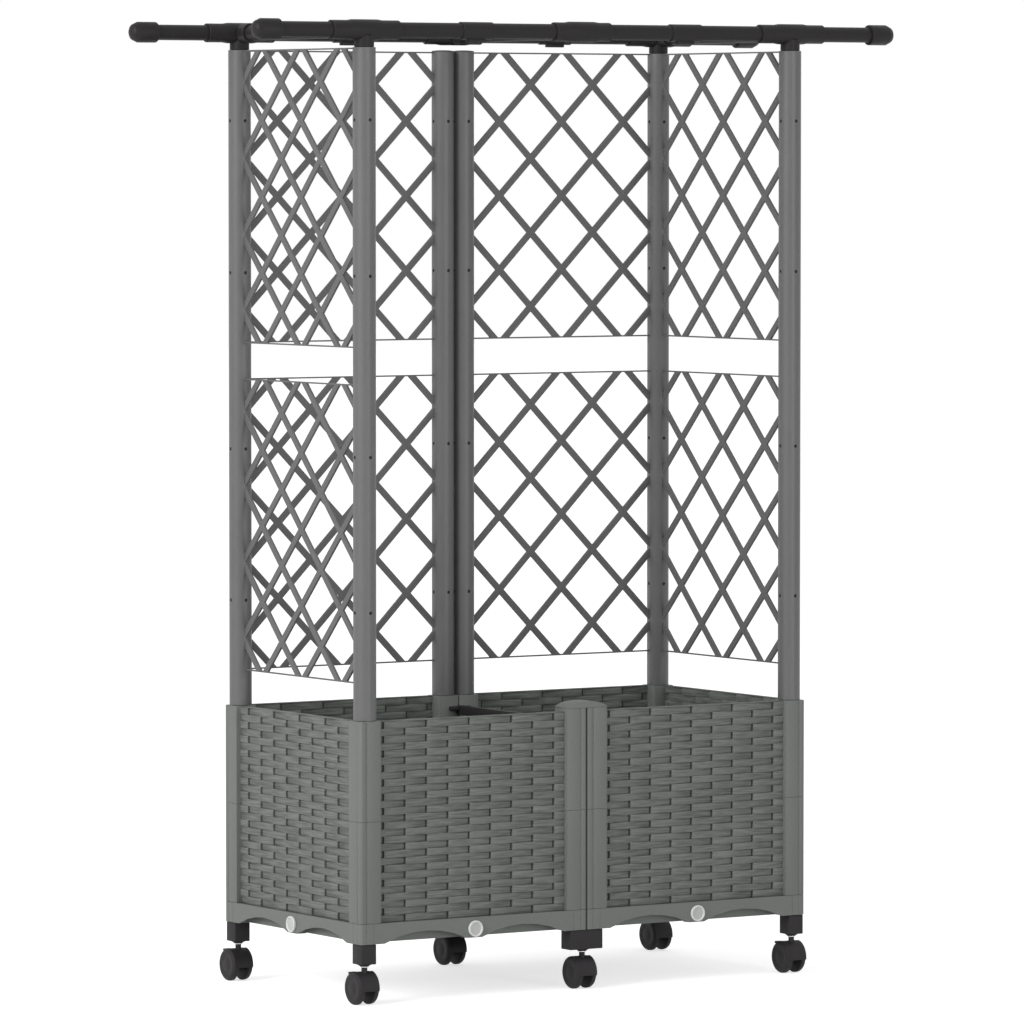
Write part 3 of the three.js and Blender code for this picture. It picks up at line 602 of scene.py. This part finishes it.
# The double socket below each pair of middle columns is black, so it is a piece of its own.
for end, towards in ends.items():
    mesh = bmesh.new()
    for way in (-1, 1):
        made = makeColumn(mesh, cap["bottom"] if towards < 0 else layout["columnTop"])
        placed(mesh, made, x=way * layout["moduleGap"] / 2, mirrorX=way)
    roundColumns(mesh)
    placed(mesh, mesh.verts, y=towards * layout["halfDepth"], mirrorY=-towards)
    name = "middle_columns_" + end
    finishPiece(mesh, name + "_pair", ["greyPlastic"], "planter", [name])
    makeSocket("double_socket_" + end, socket["doubleLength"], 0, towards * layout["castorY"])
    for side, way in sides.items():
        name = "castor_socket_" + end + "_" + side
        makeSocket(name + "_block", socket["width"], way * layout["castorX"], towards * layout["castorY"],
                   [name])
print("columns and sockets made")


# The joining cap is highest over the seam and falls more and more steeply towards its sides.
mesh = bmesh.new()
half, foot = cap["length"] / 2, cap["bottom"] + cap["gap"]
outline = [(-half, foot), (half, foot)]
for step in range(cap["steps"] + 1):
    share = math.cos(math.pi * step / cap["steps"])
    outline.append((half * share, cap["top"] - cap["crown"] * abs(share) ** cap["crownPower"]))
front = -layout["halfDepth"] + cap["setBack"]
made = extrudeOutline(mesh, outline, front, front + cap["depth"])
bmesh.ops.rotate(mesh, verts=made, cent=(0, 0, 0), matrix=Matrix(((1, 0, 0), (0, 0, 1), (0, 1, 0))))
roundEdges(mesh, cap["edge"], 3, 40.0)
finishPiece(mesh, "joining_cap", ["greyPlastic"], "planter")


# Tie bar across the inside, with a flat hook in the columns at each end
tieBar = {
    "width": 8.0,
    "height": 14.0,
    "top": 403.8,
    "hookWidth": 36.0,
    "hookHeight": 6.0,
    "hookDrop": 1.0,
    "hookDepth": 3.4,
    "hookReach": 8.0,
    "endGap": 0.3,
    "edge": 0.8,
}

mesh = bmesh.new()
inner = layout["halfDepth"] - layout["columnWidth"]
top = tieBar["top"]
reach = inner - tieBar["endGap"]
roundedBox(mesh, (-tieBar["width"] / 2, -reach, top - tieBar["height"]), (tieBar["width"] / 2, reach, top),
           tieBar["edge"], 2)
for way in (-1, 1):
    near, far = sorted((way * (inner - tieBar["hookReach"]), way * (inner + tieBar["hookDepth"])))
    hookTop = top - tieBar["hookDrop"]
    roundedBox(mesh, (-tieBar["hookWidth"] / 2, near, hookTop - tieBar["hookHeight"]),
               (tieBar["hookWidth"] / 2, far, hookTop), tieBar["edge"], 2)
finishPiece(mesh, "tie_bar_body", ["blackPlastic"], "planter", ["tie_bar"])


# Drain plugs
plug = {
    "radius": 12.2,
    "lip": 2.6,
    "head": 2.3,
    "raise": 1.5,
    "gap": 0.3,
    "soft": 0.4,
    "pin": 6.0,
    "pinLength": 19.0,
    "z": 103.6,
}


# A pin with a round head. The head has a raised rim around a sunken, slightly darker middle.
def makePlug(name, body, place):
    mesh = bmesh.new()
    r, gap, soft, head = plug["radius"], plug["gap"], plug["soft"], -plug["head"]
    dish, crest = r - plug["lip"], head - plug["raise"]
    made = spinProfile(mesh, [(0, plug["pinLength"]), (plug["pin"], plug["pinLength"]), (plug["pin"], -gap),
                              (r - gap, -gap), (r, -2 * gap), (r, crest + 0.5), (r - 0.5, crest),
                              (dish + soft, crest), (dish - soft, head + 0.1), (dish - 3 * soft, head),
                              (0, head)], 48)
    for item in mesh.faces:
        middle = item.calc_center_median()
        if middle.z < head + gap and middle.xy.length < dish - 0.1:
            item.material_index = 1
    turnY(mesh, made)
    placed(mesh, mesh.verts, z=plug["z"], **place)
    finishPiece(mesh, name + "_disc", ["plugPlastic", "plugMiddle"], body, [name])


for side, way in sides.items():
    makePlug("drain_plug_" + side, "plug_" + side,
             {"x": way * layout["halfLength"], "turn": way * math.pi / 2})
    for end, towards in ends.items():
        turn = 0.0 if towards < 0 else math.pi
        makePlug("drain_plug_" + end + "_" + side, "plug_" + end + "_" + side,
                 {"x": way * moduleMiddle, "y": towards * layout["halfDepth"], "turn": turn})
print("cap, bar and plugs made")


# Castors
castor = {
    "trail": 7.0,
    "radius": 24.5,
    "wheelInner": 8.0,
    "wheelOuter": 17.5,
    "housingHalf": 7.5,
    "housingRadius": 24.4,
    "housingEdge": 0.8,
    "hubRadius": 9.0,
    "axleRadius": 3.0,
    "axleReach": 1.0,
    "stemRadius": 4.4,
    "stemBottom": 30.0,
    "stemTop": 82.0,
    "ringRadius": 6.4,
    "ringHeight": 0.9,
    "ringGap": 0.15,
    "ringPlay": 0.1,
    "cowlHalf": 15.6,
    "cowlInner": 24.7,
    "cowlOuter": 25.25,
    "cowlBack": 100,
    "cowlFront": 188,
    "pedalHalf": 5.0,
    "pedalReach": 31.0,
    "pedalTip": 21.2,
    "pedalNeck": 22.5,
    "pedalThick": 3.0,
    "pedalPivot": (11.0, 17.0),
    "pedalEye": 3.4,
    "pedalThroat": (14.5, 14.6),
    "pedalEdge": 0.6,
    "pocketFloor": 11.0,
    "pocketStart": 7.2,
}


# The hood between the wheels, with the stem on top of it. Its origin is on the swivel's axis, on the floor.
def makeHousing(name, body, x, y, braked):
    mesh = bmesh.new()
    centreY, centreZ = castor["trail"], castor["radius"]
    outline = arc(centreY, centreZ, castor["housingRadius"], -35, 188, 36)
    outline += arc(centreY, centreZ, castor["hubRadius"], 200, 290, 8)
    extrudeOutline(mesh, outline, -castor["housingHalf"], castor["housingHalf"])
    standUp(mesh, mesh.verts)
    roundEdges(mesh, castor["housingEdge"], 2, 40.0)
    stem, low, high = castor["stemRadius"], castor["stemBottom"], castor["stemTop"]
    spinProfile(mesh, [(0, low), (stem, low), (stem, high), (0, high)], 24)
    if braked:
        cutPocket(mesh)
    makeCowl(mesh)
    placed(mesh, mesh.verts, x=x, y=y)
    finishPiece(mesh, name + "_hood", ["blackPlastic"], body, [name])


# The thin cowl that goes on from the hood over both wheels, from the top to the hood's front edge.
def makeCowl(mesh):
    centreY, centreZ = castor["trail"], castor["radius"]
    back, front = castor["cowlBack"], castor["cowlFront"]
    outline = arc(centreY, centreZ, castor["cowlOuter"], back, front, 20)
    outline += arc(centreY, centreZ, castor["cowlInner"], front, back, 20)
    standUp(mesh, extrudeOutline(mesh, outline, -castor["cowlHalf"], castor["cowlHalf"]))


# The room for the brake pedal in the back of the hood's top.
def cutPocket(mesh):
    low = castor["radius"] + castor["pocketFloor"]
    start = castor["trail"] + castor["pocketStart"]
    for vert in mesh.verts:
        if vert.co.y > start and vert.co.z > low and abs(vert.co.x) < castor["pedalHalf"]:
            vert.co.z = low


# Two wheels on one axle. Each has a flat tread, a wide rounded shoulder, a ring-shaped step and a hub.
def makeWheels(name, body, x, y):
    mesh = bmesh.new()
    r, axle = castor["radius"], castor["axleRadius"]
    inner, outer = castor["wheelInner"], castor["wheelOuter"]
    rim = [(0, inner), (r - 3.0, inner), (r, inner + 0.8), (r, outer - 5.0)]
    rim += [(r - 5.4 + 5.4 * math.cos(t), outer - 5.0 + 4.6 * math.sin(t)) for t in (0.35, 0.7, 1.05, 1.4)]
    rim += [(r - 8.0, outer - 0.2), (r - 8.8, outer - 0.5), (9.0, outer - 0.6), (8.4, outer - 0.35),
            (2.0, outer - 0.1), (0, outer - 0.1)]
    for way in (-1, 1):
        made = spinProfile(mesh, rim, 56)
        if way < 0:
            bmesh.ops.scale(mesh, verts=made, vec=(1, 1, -1))
    reach = inner + castor["axleReach"]
    spinProfile(mesh, [(0, -reach), (axle, -reach), (axle, reach), (0, reach)], 24)
    turnX(mesh, mesh.verts)
    placed(mesh, mesh.verts, x=x, y=y + castor["trail"], z=r)
    finishPiece(mesh, name + "_pair", ["blackPlastic"], body, [name])


# The brake pedal: a round eye on its pivot in the pocket, and a flat tip that sticks out behind.
def makePedal(name, body, x, y):
    mesh = bmesh.new()
    centreY, centreZ = castor["trail"], castor["radius"]
    pivotY, pivotZ = castor["pedalPivot"]
    throatY, throatZ = castor["pedalThroat"]
    tipY, tipZ = centreY + castor["pedalReach"], centreZ + castor["pedalTip"]
    outline = [(centreY + pivotY, centreZ + castor["pedalNeck"])]
    outline += arc(centreY + pivotY, centreZ + pivotZ, castor["pedalEye"], 120, 290, 12)
    outline += [(centreY + throatY, centreZ + throatZ), (tipY, tipZ - castor["pedalThick"]), (tipY, tipZ)]
    extrudeOutline(mesh, outline, -castor["pedalHalf"], castor["pedalHalf"])
    standUp(mesh, mesh.verts)
    roundEdges(mesh, castor["pedalEdge"], 2, 40.0)
    placed(mesh, mesh.verts, x=x, y=y)
    finishPiece(mesh, name + "_tab", ["blackPlastic"], body, [name])


# The steel ring on the stem, just below the socket's collar.
def makeRing(name, body, x, y):
    mesh = bmesh.new()
    top = layout["socketBottom"] - socket["collarHeight"] - castor["ringGap"]
    low = top - castor["ringHeight"]
    bore, rim = castor["stemRadius"] + castor["ringPlay"], castor["ringRadius"]
    spinProfile(mesh, [(bore, top), (rim, top), (rim, low), (bore, low)], 32)
    placed(mesh, mesh.verts, x=x, y=y)
    finishPiece(mesh, name, ["steel"], body)


for end, towards in ends.items():
    for place, way in {"left": -1, "middle": 0, "right": 1}.items():
        key = end + "_" + place
        x, y = way * layout["castorX"], towards * layout["castorY"]
        makeHousing("castor_housing_" + key, "castor_" + key, x, y, way != 0)
        makeWheels("castor_wheels_" + key, "wheels_" + key, x, y)
        makeRing("stem_ring_" + key, "castor_" + key, x, y)
        if way:
            makePedal("brake_pedal_" + key, "pedal_" + key, x, y)
print("castors made")


# Posts
post = {
    "radius": 17.0,
    "wall": 3.0,
    "bottom": 419.5,
    "edge": 0.5,
    "screwRadius": 2.65,
    "screwPlay": 0.05,
    "screwOffset": 114.3,
    "screwSink": 1.4,
    "screwLength": 4.0,
    "holeLength": 8.0,
    "domeGap": 0.1,
    "latticeGap": 53.3,
    "latticeHeight": 441.0,
}
lowerBottom = layout["columnTop"] + post["latticeGap"]
upperBottom = lowerBottom + post["latticeHeight"] + post["latticeGap"]
screwLevels = [bottom + post["latticeHeight"] / 2 + way * post["screwOffset"]
               for bottom in (lowerBottom, upperBottom) for way in (-1, 1)]


# A tube with dark screws that sit a little below its surface on all four sides.
def makePost(name, x, y, domed):
    mesh = bmesh.new()
    r, edge, bore = post["radius"], post["edge"], post["radius"] - post["wall"]
    low, top = post["bottom"], layout["postTop"]
    spinProfile(mesh, [(bore, low), (r - edge, low), (r, low + edge), (r, top - edge), (r - edge, top),
                       (bore, top)], 64)
    placed(mesh, mesh.verts, x=x, y=y)
    piece = finishPiece(mesh, name + "_tube", ["postPlastic"], "planter", [name])
    screw, length = post["screwRadius"], post["screwLength"]
    screws = makeRods(x, y, screw - post["screwPlay"], length, r - post["screwSink"] - length / 2)
    finishPiece(screws, name + "_screws", ["blackPlastic"], "planter")
    cutScrewHoles(piece, makeRods(x, y, screw, post["holeLength"], r))
    if domed:
        makeDome(name.replace("post", "post_cap"), x, y)


# Short rods that stand on all four sides of a post at each screw's height, this far out from its axis.
def makeRods(x, y, radius, length, out):
    mesh = bmesh.new()
    for level in screwLevels:
        for quarter in range(4):
            rod = bmesh.ops.create_cone(mesh, cap_ends=True, segments=20, radius1=radius, radius2=radius,
                                        depth=length)["verts"]
            turnX(mesh, rod)
            placed(mesh, rod, x=out)
            placed(mesh, rod, x=x, y=y, z=level, turn=quarter * math.pi / 2)
    return mesh


# Takes the rods out of the post with a Boolean that is then applied.
def cutScrewHoles(piece, rods):
    bmesh.ops.scale(rods, verts=rods.verts, vec=(mm, mm, mm))
    bmesh.ops.translate(rods, verts=rods.verts, vec=(0, shift, 0))
    data = bpy.data.meshes.new("rods")
    rods.to_mesh(data)
    rods.free()
    cutter = bpy.data.objects.new("rods", data)
    bpy.context.scene.collection.objects.link(cutter)
    cut = piece.modifiers.new("screw holes", "BOOLEAN")
    cut.operation = "DIFFERENCE"
    cut.solver = "EXACT"
    cut.use_self = True
    cut.object = cutter
    bpy.context.view_layer.update()
    done = bpy.data.meshes.new_from_object(piece.evaluated_get(bpy.context.evaluated_depsgraph_get()))
    piece.modifiers.clear()
    piece.data = done
    bpy.data.objects.remove(cutter)
    bpy.data.meshes.remove(data)


# The flat domed cap of a middle post.
def makeDome(name, x, y):
    mesh = bmesh.new()
    r, top = post["radius"], layout["postTop"] + post["domeGap"]
    spinProfile(mesh, [(0, top), (r - 0.4, top), (r, top + 0.3), (r, top + 0.9), (r - 0.9, top + 1.4),
                       (r * 0.6, top + 2.1), (r * 0.3, top + 2.4), (0, top + 2.5)], 48)
    placed(mesh, mesh.verts, x=x, y=y)
    finishPiece(mesh, name, ["postPlastic"], "planter")


for side, way in sides.items():
    for end, towards in ends.items():
        makePost("post_" + end + "_" + side, way * layout["postX"], towards * layout["postY"], False)
    makePost("post_middle_" + side, way * layout["postSeamX"], layout["postY"], True)
print("posts made")


# Lattice panels
lattice = {
    "pitch": 114.3,
    "strip": 10.0,
    "thickness": 4.0,
    "edge": 2.2,
    "bevel": 0.6,
    "tongue": 3.4,
    "leastGap": 4.0,
}


# A plate is cut along the borders of the strips, the diamonds between them are taken out, and what is left
# gets its thickness. The plate lies in X and Z with its middle at the origin.
def makeLattice(name, spacing, place):
    mesh = bmesh.new()
    halfWidth = spacing / 2 - post["radius"] + lattice["tongue"]
    halfHeight = post["latticeHeight"] / 2
    openHeight = halfHeight - lattice["edge"]
    plate = bmesh.ops.create_grid(mesh, x_segments=1, y_segments=1, size=1.0)["verts"]
    bmesh.ops.scale(mesh, verts=plate, vec=(halfWidth, halfHeight, 1))
    step = lattice["pitch"] / math.sqrt(2)
    halfStrip = lattice["strip"] / 2
    count = math.ceil((halfWidth + halfHeight) / math.sqrt(2) / step)
    cuts = []
    for number in range(-count, count + 1):
        for border in (-halfStrip, halfStrip):
            for slope in (-1, 1):
                normal = Vector((1, slope, 0)).normalized()
                cuts.append((normal * (number * step + border), normal))
    cuts += [(Vector((0, way * openHeight, 0)), Vector((0, 1, 0))) for way in (-1, 1)]
    for point, normal in cuts:
        bmesh.ops.bisect_plane(mesh, geom=mesh.verts[:] + mesh.edges[:] + mesh.faces[:], plane_co=point,
                               plane_no=normal, dist=0.001)
    gaps = []
    for item in mesh.faces:
        middle = item.calc_center_median()
        offsets = [abs((middle.x + slope * middle.y) / math.sqrt(2) / step) for slope in (-1, 1)]
        between = all(abs(offset - round(offset)) * step > halfStrip for offset in offsets)
        if between and abs(middle.y) < openHeight and item.calc_area() > lattice["leastGap"]:
            gaps.append(item)
    bmesh.ops.delete(mesh, geom=gaps, context="FACES")
    bmesh.ops.dissolve_limit(mesh, angle_limit=0.01, verts=mesh.verts, edges=mesh.edges)
    bmesh.ops.triangulate(mesh, faces=[item for item in mesh.faces if len(item.verts) > 4])
    raised = bmesh.ops.extrude_face_region(mesh, geom=mesh.faces[:])["geom"]
    verts = [item for item in raised if isinstance(item, bmesh.types.BMVert)]
    thickness = lattice["thickness"]
    bmesh.ops.translate(mesh, verts=verts, vec=(0, 0, thickness))
    bmesh.ops.translate(mesh, verts=mesh.verts, vec=(0, 0, -thickness / 2))
    roundEdges(mesh, lattice["bevel"], 2, 60.0)
    bmesh.ops.rotate(mesh, verts=mesh.verts, cent=(0, 0, 0), matrix=Matrix.Rotation(math.pi / 2, 3, "X"))
    placed(mesh, mesh.verts, **place)
    finishPiece(mesh, name + "_grid", ["latticePlastic"], "planter", [name])


for tier, bottom in {"lower": lowerBottom, "upper": upperBottom}.items():
    z = bottom + post["latticeHeight"] / 2
    for side, way in sides.items():
        x = way * (layout["postX"] + layout["postSeamX"]) / 2
        makeLattice("lattice_back_" + side + "_" + tier, layout["postX"] - layout["postSeamX"],
                    {"x": x, "y": layout["postY"], "z": z})
        makeLattice("lattice_" + side + "_" + tier, 2 * layout["postY"],
                    {"x": way * layout["postX"], "z": z, "turn": math.pi / 2})
print("lattices made")


# Roof
roof = {
    "half": 568.0,
    "tube": 11.6,
    "cap": 15.5,
    "capLength": 43.0,
    "overlap": 5.0,
    "sleeve": 13.2,
    "sleeveSink": 0.2,
    "sleeveLength": 55.0,
    "sleeveOffset": 186.0,
    "lug": (15.0, 4.5),
    "lugBottom": -17.0,
    "lugTop": -9.0,
    "lugEdge": 1.0,
    "waist": 22.0,
    "taper": 8.0,
    "connector": 15.4,
    "connectorEnd": 14.2,
    "connectorPlay": 0.1,
    "cornerLength": 116.0,
    "middleLength": 99.0,
    "collar": 14.6,
    "collarLow": 14.0,
    "collarHigh": 34.6,
    "stub": 14.7,
    "stubTop": -8.0,
    "stubGap": 0.3,
    "spigot": 13.2,
    "spigotLength": 18.0,
    "edge": 0.5,
    "collarEdge": 0.6,
}


# A long tube with an end cap at each end and two sleeves, each with the lug of its screw below.
def makeRail(end, towards):
    mesh = bmesh.new()
    r, half, start = roof["tube"], roof["half"], roof["half"] - roof["capLength"]
    reach = start + roof["overlap"]
    spinProfile(mesh, [(0, -reach), (r, -reach), (r, reach), (0, reach)], 48)
    c, s, edge, inner = roof["cap"], roof["sleeve"], roof["edge"], r - roof["sleeveSink"]
    for way in (-1, 1):
        tip = spinProfile(mesh, [(0, start - 0.5), (c - 0.8, start - 0.5), (c, start + 0.5), (c, half - 12.5),
                                 (c - 1.0, half - 10.5), (12.2, half - 5.0), (11.2, half - 3.6),
                                 (6.0, half - 0.4), (0, half)], 48)
        if way < 0:
            bmesh.ops.scale(mesh, verts=tip, vec=(1, 1, -1))
        middle = way * roof["sleeveOffset"]
        low, high = middle - roof["sleeveLength"] / 2, middle + roof["sleeveLength"] / 2
        spinProfile(mesh, [(inner, low), (s - edge, low), (s, low + edge), (s, high - edge), (s - edge, high),
                           (inner, high)], 48)
    turnX(mesh, mesh.verts)
    wide, deep = roof["lug"]
    for way in (-1, 1):
        middle = way * roof["sleeveOffset"]
        roundedBox(mesh, (middle - wide, -deep, roof["lugBottom"]), (middle + wide, deep, roof["lugTop"]),
                   roof["lugEdge"], 2)
    placed(mesh, mesh.verts, y=towards * layout["postY"], z=layout["railZ"])
    name = "roof_rail_" + end
    finishPiece(mesh, name + "_tube", ["blackTube"], "planter", [name])


# The connector, the collar and, where it stands on a post, the stub of one end, around the origin.
def makeJoint(mesh, half, towards, onPost):
    waist, slope, edge = roof["waist"], roof["waist"] + roof["taper"], roof["collarEdge"]
    c, e, bore = roof["connector"], roof["connectorEnd"], roof["tube"] + roof["connectorPlay"]
    made = spinProfile(mesh, [(bore, -half), (e - edge, -half), (e, -half + edge), (e, -slope), (c, -waist),
                              (c, waist), (e, slope), (e, half - edge), (e - edge, half), (bore, half)], 48)
    turnX(mesh, made)
    r, low, high = roof["collar"], roof["collarLow"], roof["collarHigh"]
    collar = spinProfile(mesh, [(0, low), (r - edge, low), (r, low + edge), (r, high - edge),
                                (r - edge, high), (0, high)], 48)
    turnY(mesh, collar)
    if towards > 0:
        bmesh.ops.scale(mesh, verts=collar, vec=(1, -1, 1))
    if not onPost:
        return [made, collar]
    r, edge, top = roof["stub"], roof["edge"], roof["stubTop"]
    foot = layout["postTop"] + roof["stubGap"] - layout["railZ"]
    bar, tip = roof["spigot"], foot - roof["spigotLength"]
    stub = spinProfile(mesh, [(0, tip), (bar, tip), (bar, foot), (r - edge, foot), (r, foot + edge), (r, top),
                              (0, top)], 48)
    return [made, collar, stub]


# A tube between the two rails. At each end a connector goes around the rail, with a collar around the
# tube's end and, over the corner posts, a stub that goes down into the post.
def makeCross(side, x, length, onPosts):
    mesh = bmesh.new()
    y, r = layout["postY"], roof["tube"]
    turnY(mesh, spinProfile(mesh, [(0, -y), (r, -y), (r, y), (0, y)], 48))
    for towards in ends.values():
        for made in makeJoint(mesh, length / 2, towards, onPosts):
            bmesh.ops.translate(mesh, verts=made, vec=(0, towards * y, 0))
    placed(mesh, mesh.verts, x=x, z=layout["railZ"])
    name = "cross_tube_" + side
    finishPiece(mesh, name + "_joint", ["blackTube"], "planter", [name])


for end, towards in ends.items():
    makeRail(end, towards)
makeCross("left", -layout["postX"], roof["cornerLength"], True)
makeCross("middle", 0.0, roof["middleLength"], False)
makeCross("right", layout["postX"], roof["cornerLength"], True)
print("roof made")


# Floor, light and camera
studio = {
    "floorSize": 60.0,
    "floorColour": 0.8,
    "floorSpread": 0.004,
    "floorGlow": 0.66,
    "floorRoughness": 0.9,
    "worldStrength": 0.5,
    "lamps": {
        "key": {"location": (-7.0, -1.6, 4.0), "target": (0, 0, 0.7), "size": (3.5, 3.5), "energy": 385.0},
        "front": {"location": (0.7, -6.5, 1.6), "target": (0, 0, 0.9), "size": (1.2, 3.0), "energy": 75.0},
    },
}


# 1 where a ray comes from the camera, a reflection or through glass, and 0 where it only carries light.
def seenDirectly(shade):
    rays = {name: shade.node("ShaderNodeLightPath", output=index)
            for name, index in {"camera": 0, "glossy": 3, "transmission": 6}.items()}
    return shade.maths("MINIMUM", rays["camera"] + rays["glossy"] + rays["transmission"], 1.0)


# A pale floor whose glow lights nothing. It meets the white background and keeps the object's shadow.
def makeFloor():
    bpy.ops.mesh.primitive_plane_add(size=studio["floorSize"], location=(0, 0, 0))
    floor = bpy.context.object
    floor.name = "floor"
    material = bpy.data.materials.new("floorPaint")
    material.use_nodes = True
    shader = material.node_tree.nodes["Principled BSDF"]
    shade = Shade(material.node_tree)
    place = shade.node("ShaderNodeTexCoord", output=3)
    cloud = shade.node("ShaderNodeTexNoise", inputs={"Vector": place, "Scale": 0.8, "Detail": 2.0})
    level, spread = studio["floorColour"], studio["floorSpread"]
    colour = mixColour(shade, cloud, grey(level - spread), grey(level + spread))
    glow = mixColour(shade, seenDirectly(shade), grey(0.0), grey(studio["floorGlow"]))
    material.node_tree.links.new(colour.socket, shader.inputs["Base Color"])
    material.node_tree.links.new(glow.socket, shader.inputs["Emission Color"])
    shader.inputs["Emission Strength"].default_value = 1.0
    shader.inputs["Roughness"].default_value = studio["floorRoughness"]
    shader.inputs["Specular IOR Level"].default_value = 0.1
    floor.data.materials.append(material)


# A plain soft light from all around that looks white itself.
def makeWorld():
    world = bpy.data.worlds.new("studio")
    bpy.context.scene.world = world
    world.use_nodes = True
    tree = world.node_tree
    tree.nodes.clear()
    shade = Shade(tree)
    plain = studio["worldStrength"]
    level = plain + seenDirectly(shade) * (1.0 - plain)
    white = shade.node("ShaderNodeBackground", inputs={"Color": (1, 1, 1, 1), "Strength": level})
    shade.node("ShaderNodeOutputWorld", inputs={0: white})


def makeLamp(name, values):
    light = bpy.data.lights.new(name, "AREA")
    light.shape = "RECTANGLE"
    light.size, light.size_y = values["size"]
    light.energy = values["energy"]
    lamp = bpy.data.objects.new(name, light)
    lamp.location = values["location"]
    look = Vector(values["target"]) - Vector(values["location"])
    lamp.rotation_euler = look.to_track_quat("-Z", "Y").to_euler()
    bpy.context.scene.collection.objects.link(lamp)


# The photograph's viewpoint, in metres and degrees. Its frame is 1024 pixels wide.
camera = {
    "x": -5.814739,
    "y": -9.101075,
    "z": 1.256987,
    "yaw": 32.542,
    "pitch": 2.906,
    "focalPixels": 7121.6,
    "framePixels": 1024,
    "sensor": 36.0,
    "farthest": 200.0,
}


def makeCamera():
    data = bpy.data.cameras.new("camera")
    data.lens = camera["focalPixels"] / camera["framePixels"] * camera["sensor"]
    data.sensor_width = camera["sensor"]
    data.clip_end = camera["farthest"]
    view = bpy.data.objects.new("camera", data)
    view.location = (camera["x"], camera["y"] + shift, camera["z"])
    view.rotation_euler = (math.radians(90 - camera["pitch"]), 0.0, -math.radians(camera["yaw"]))
    bpy.context.scene.collection.objects.link(view)
    bpy.context.scene.camera = view


makeFloor()
makeWorld()
for name, values in studio["lamps"].items():
    makeLamp(name, values)
makeCamera()
bpy.context.scene.view_settings.view_transform = "Standard"
print("studio made")
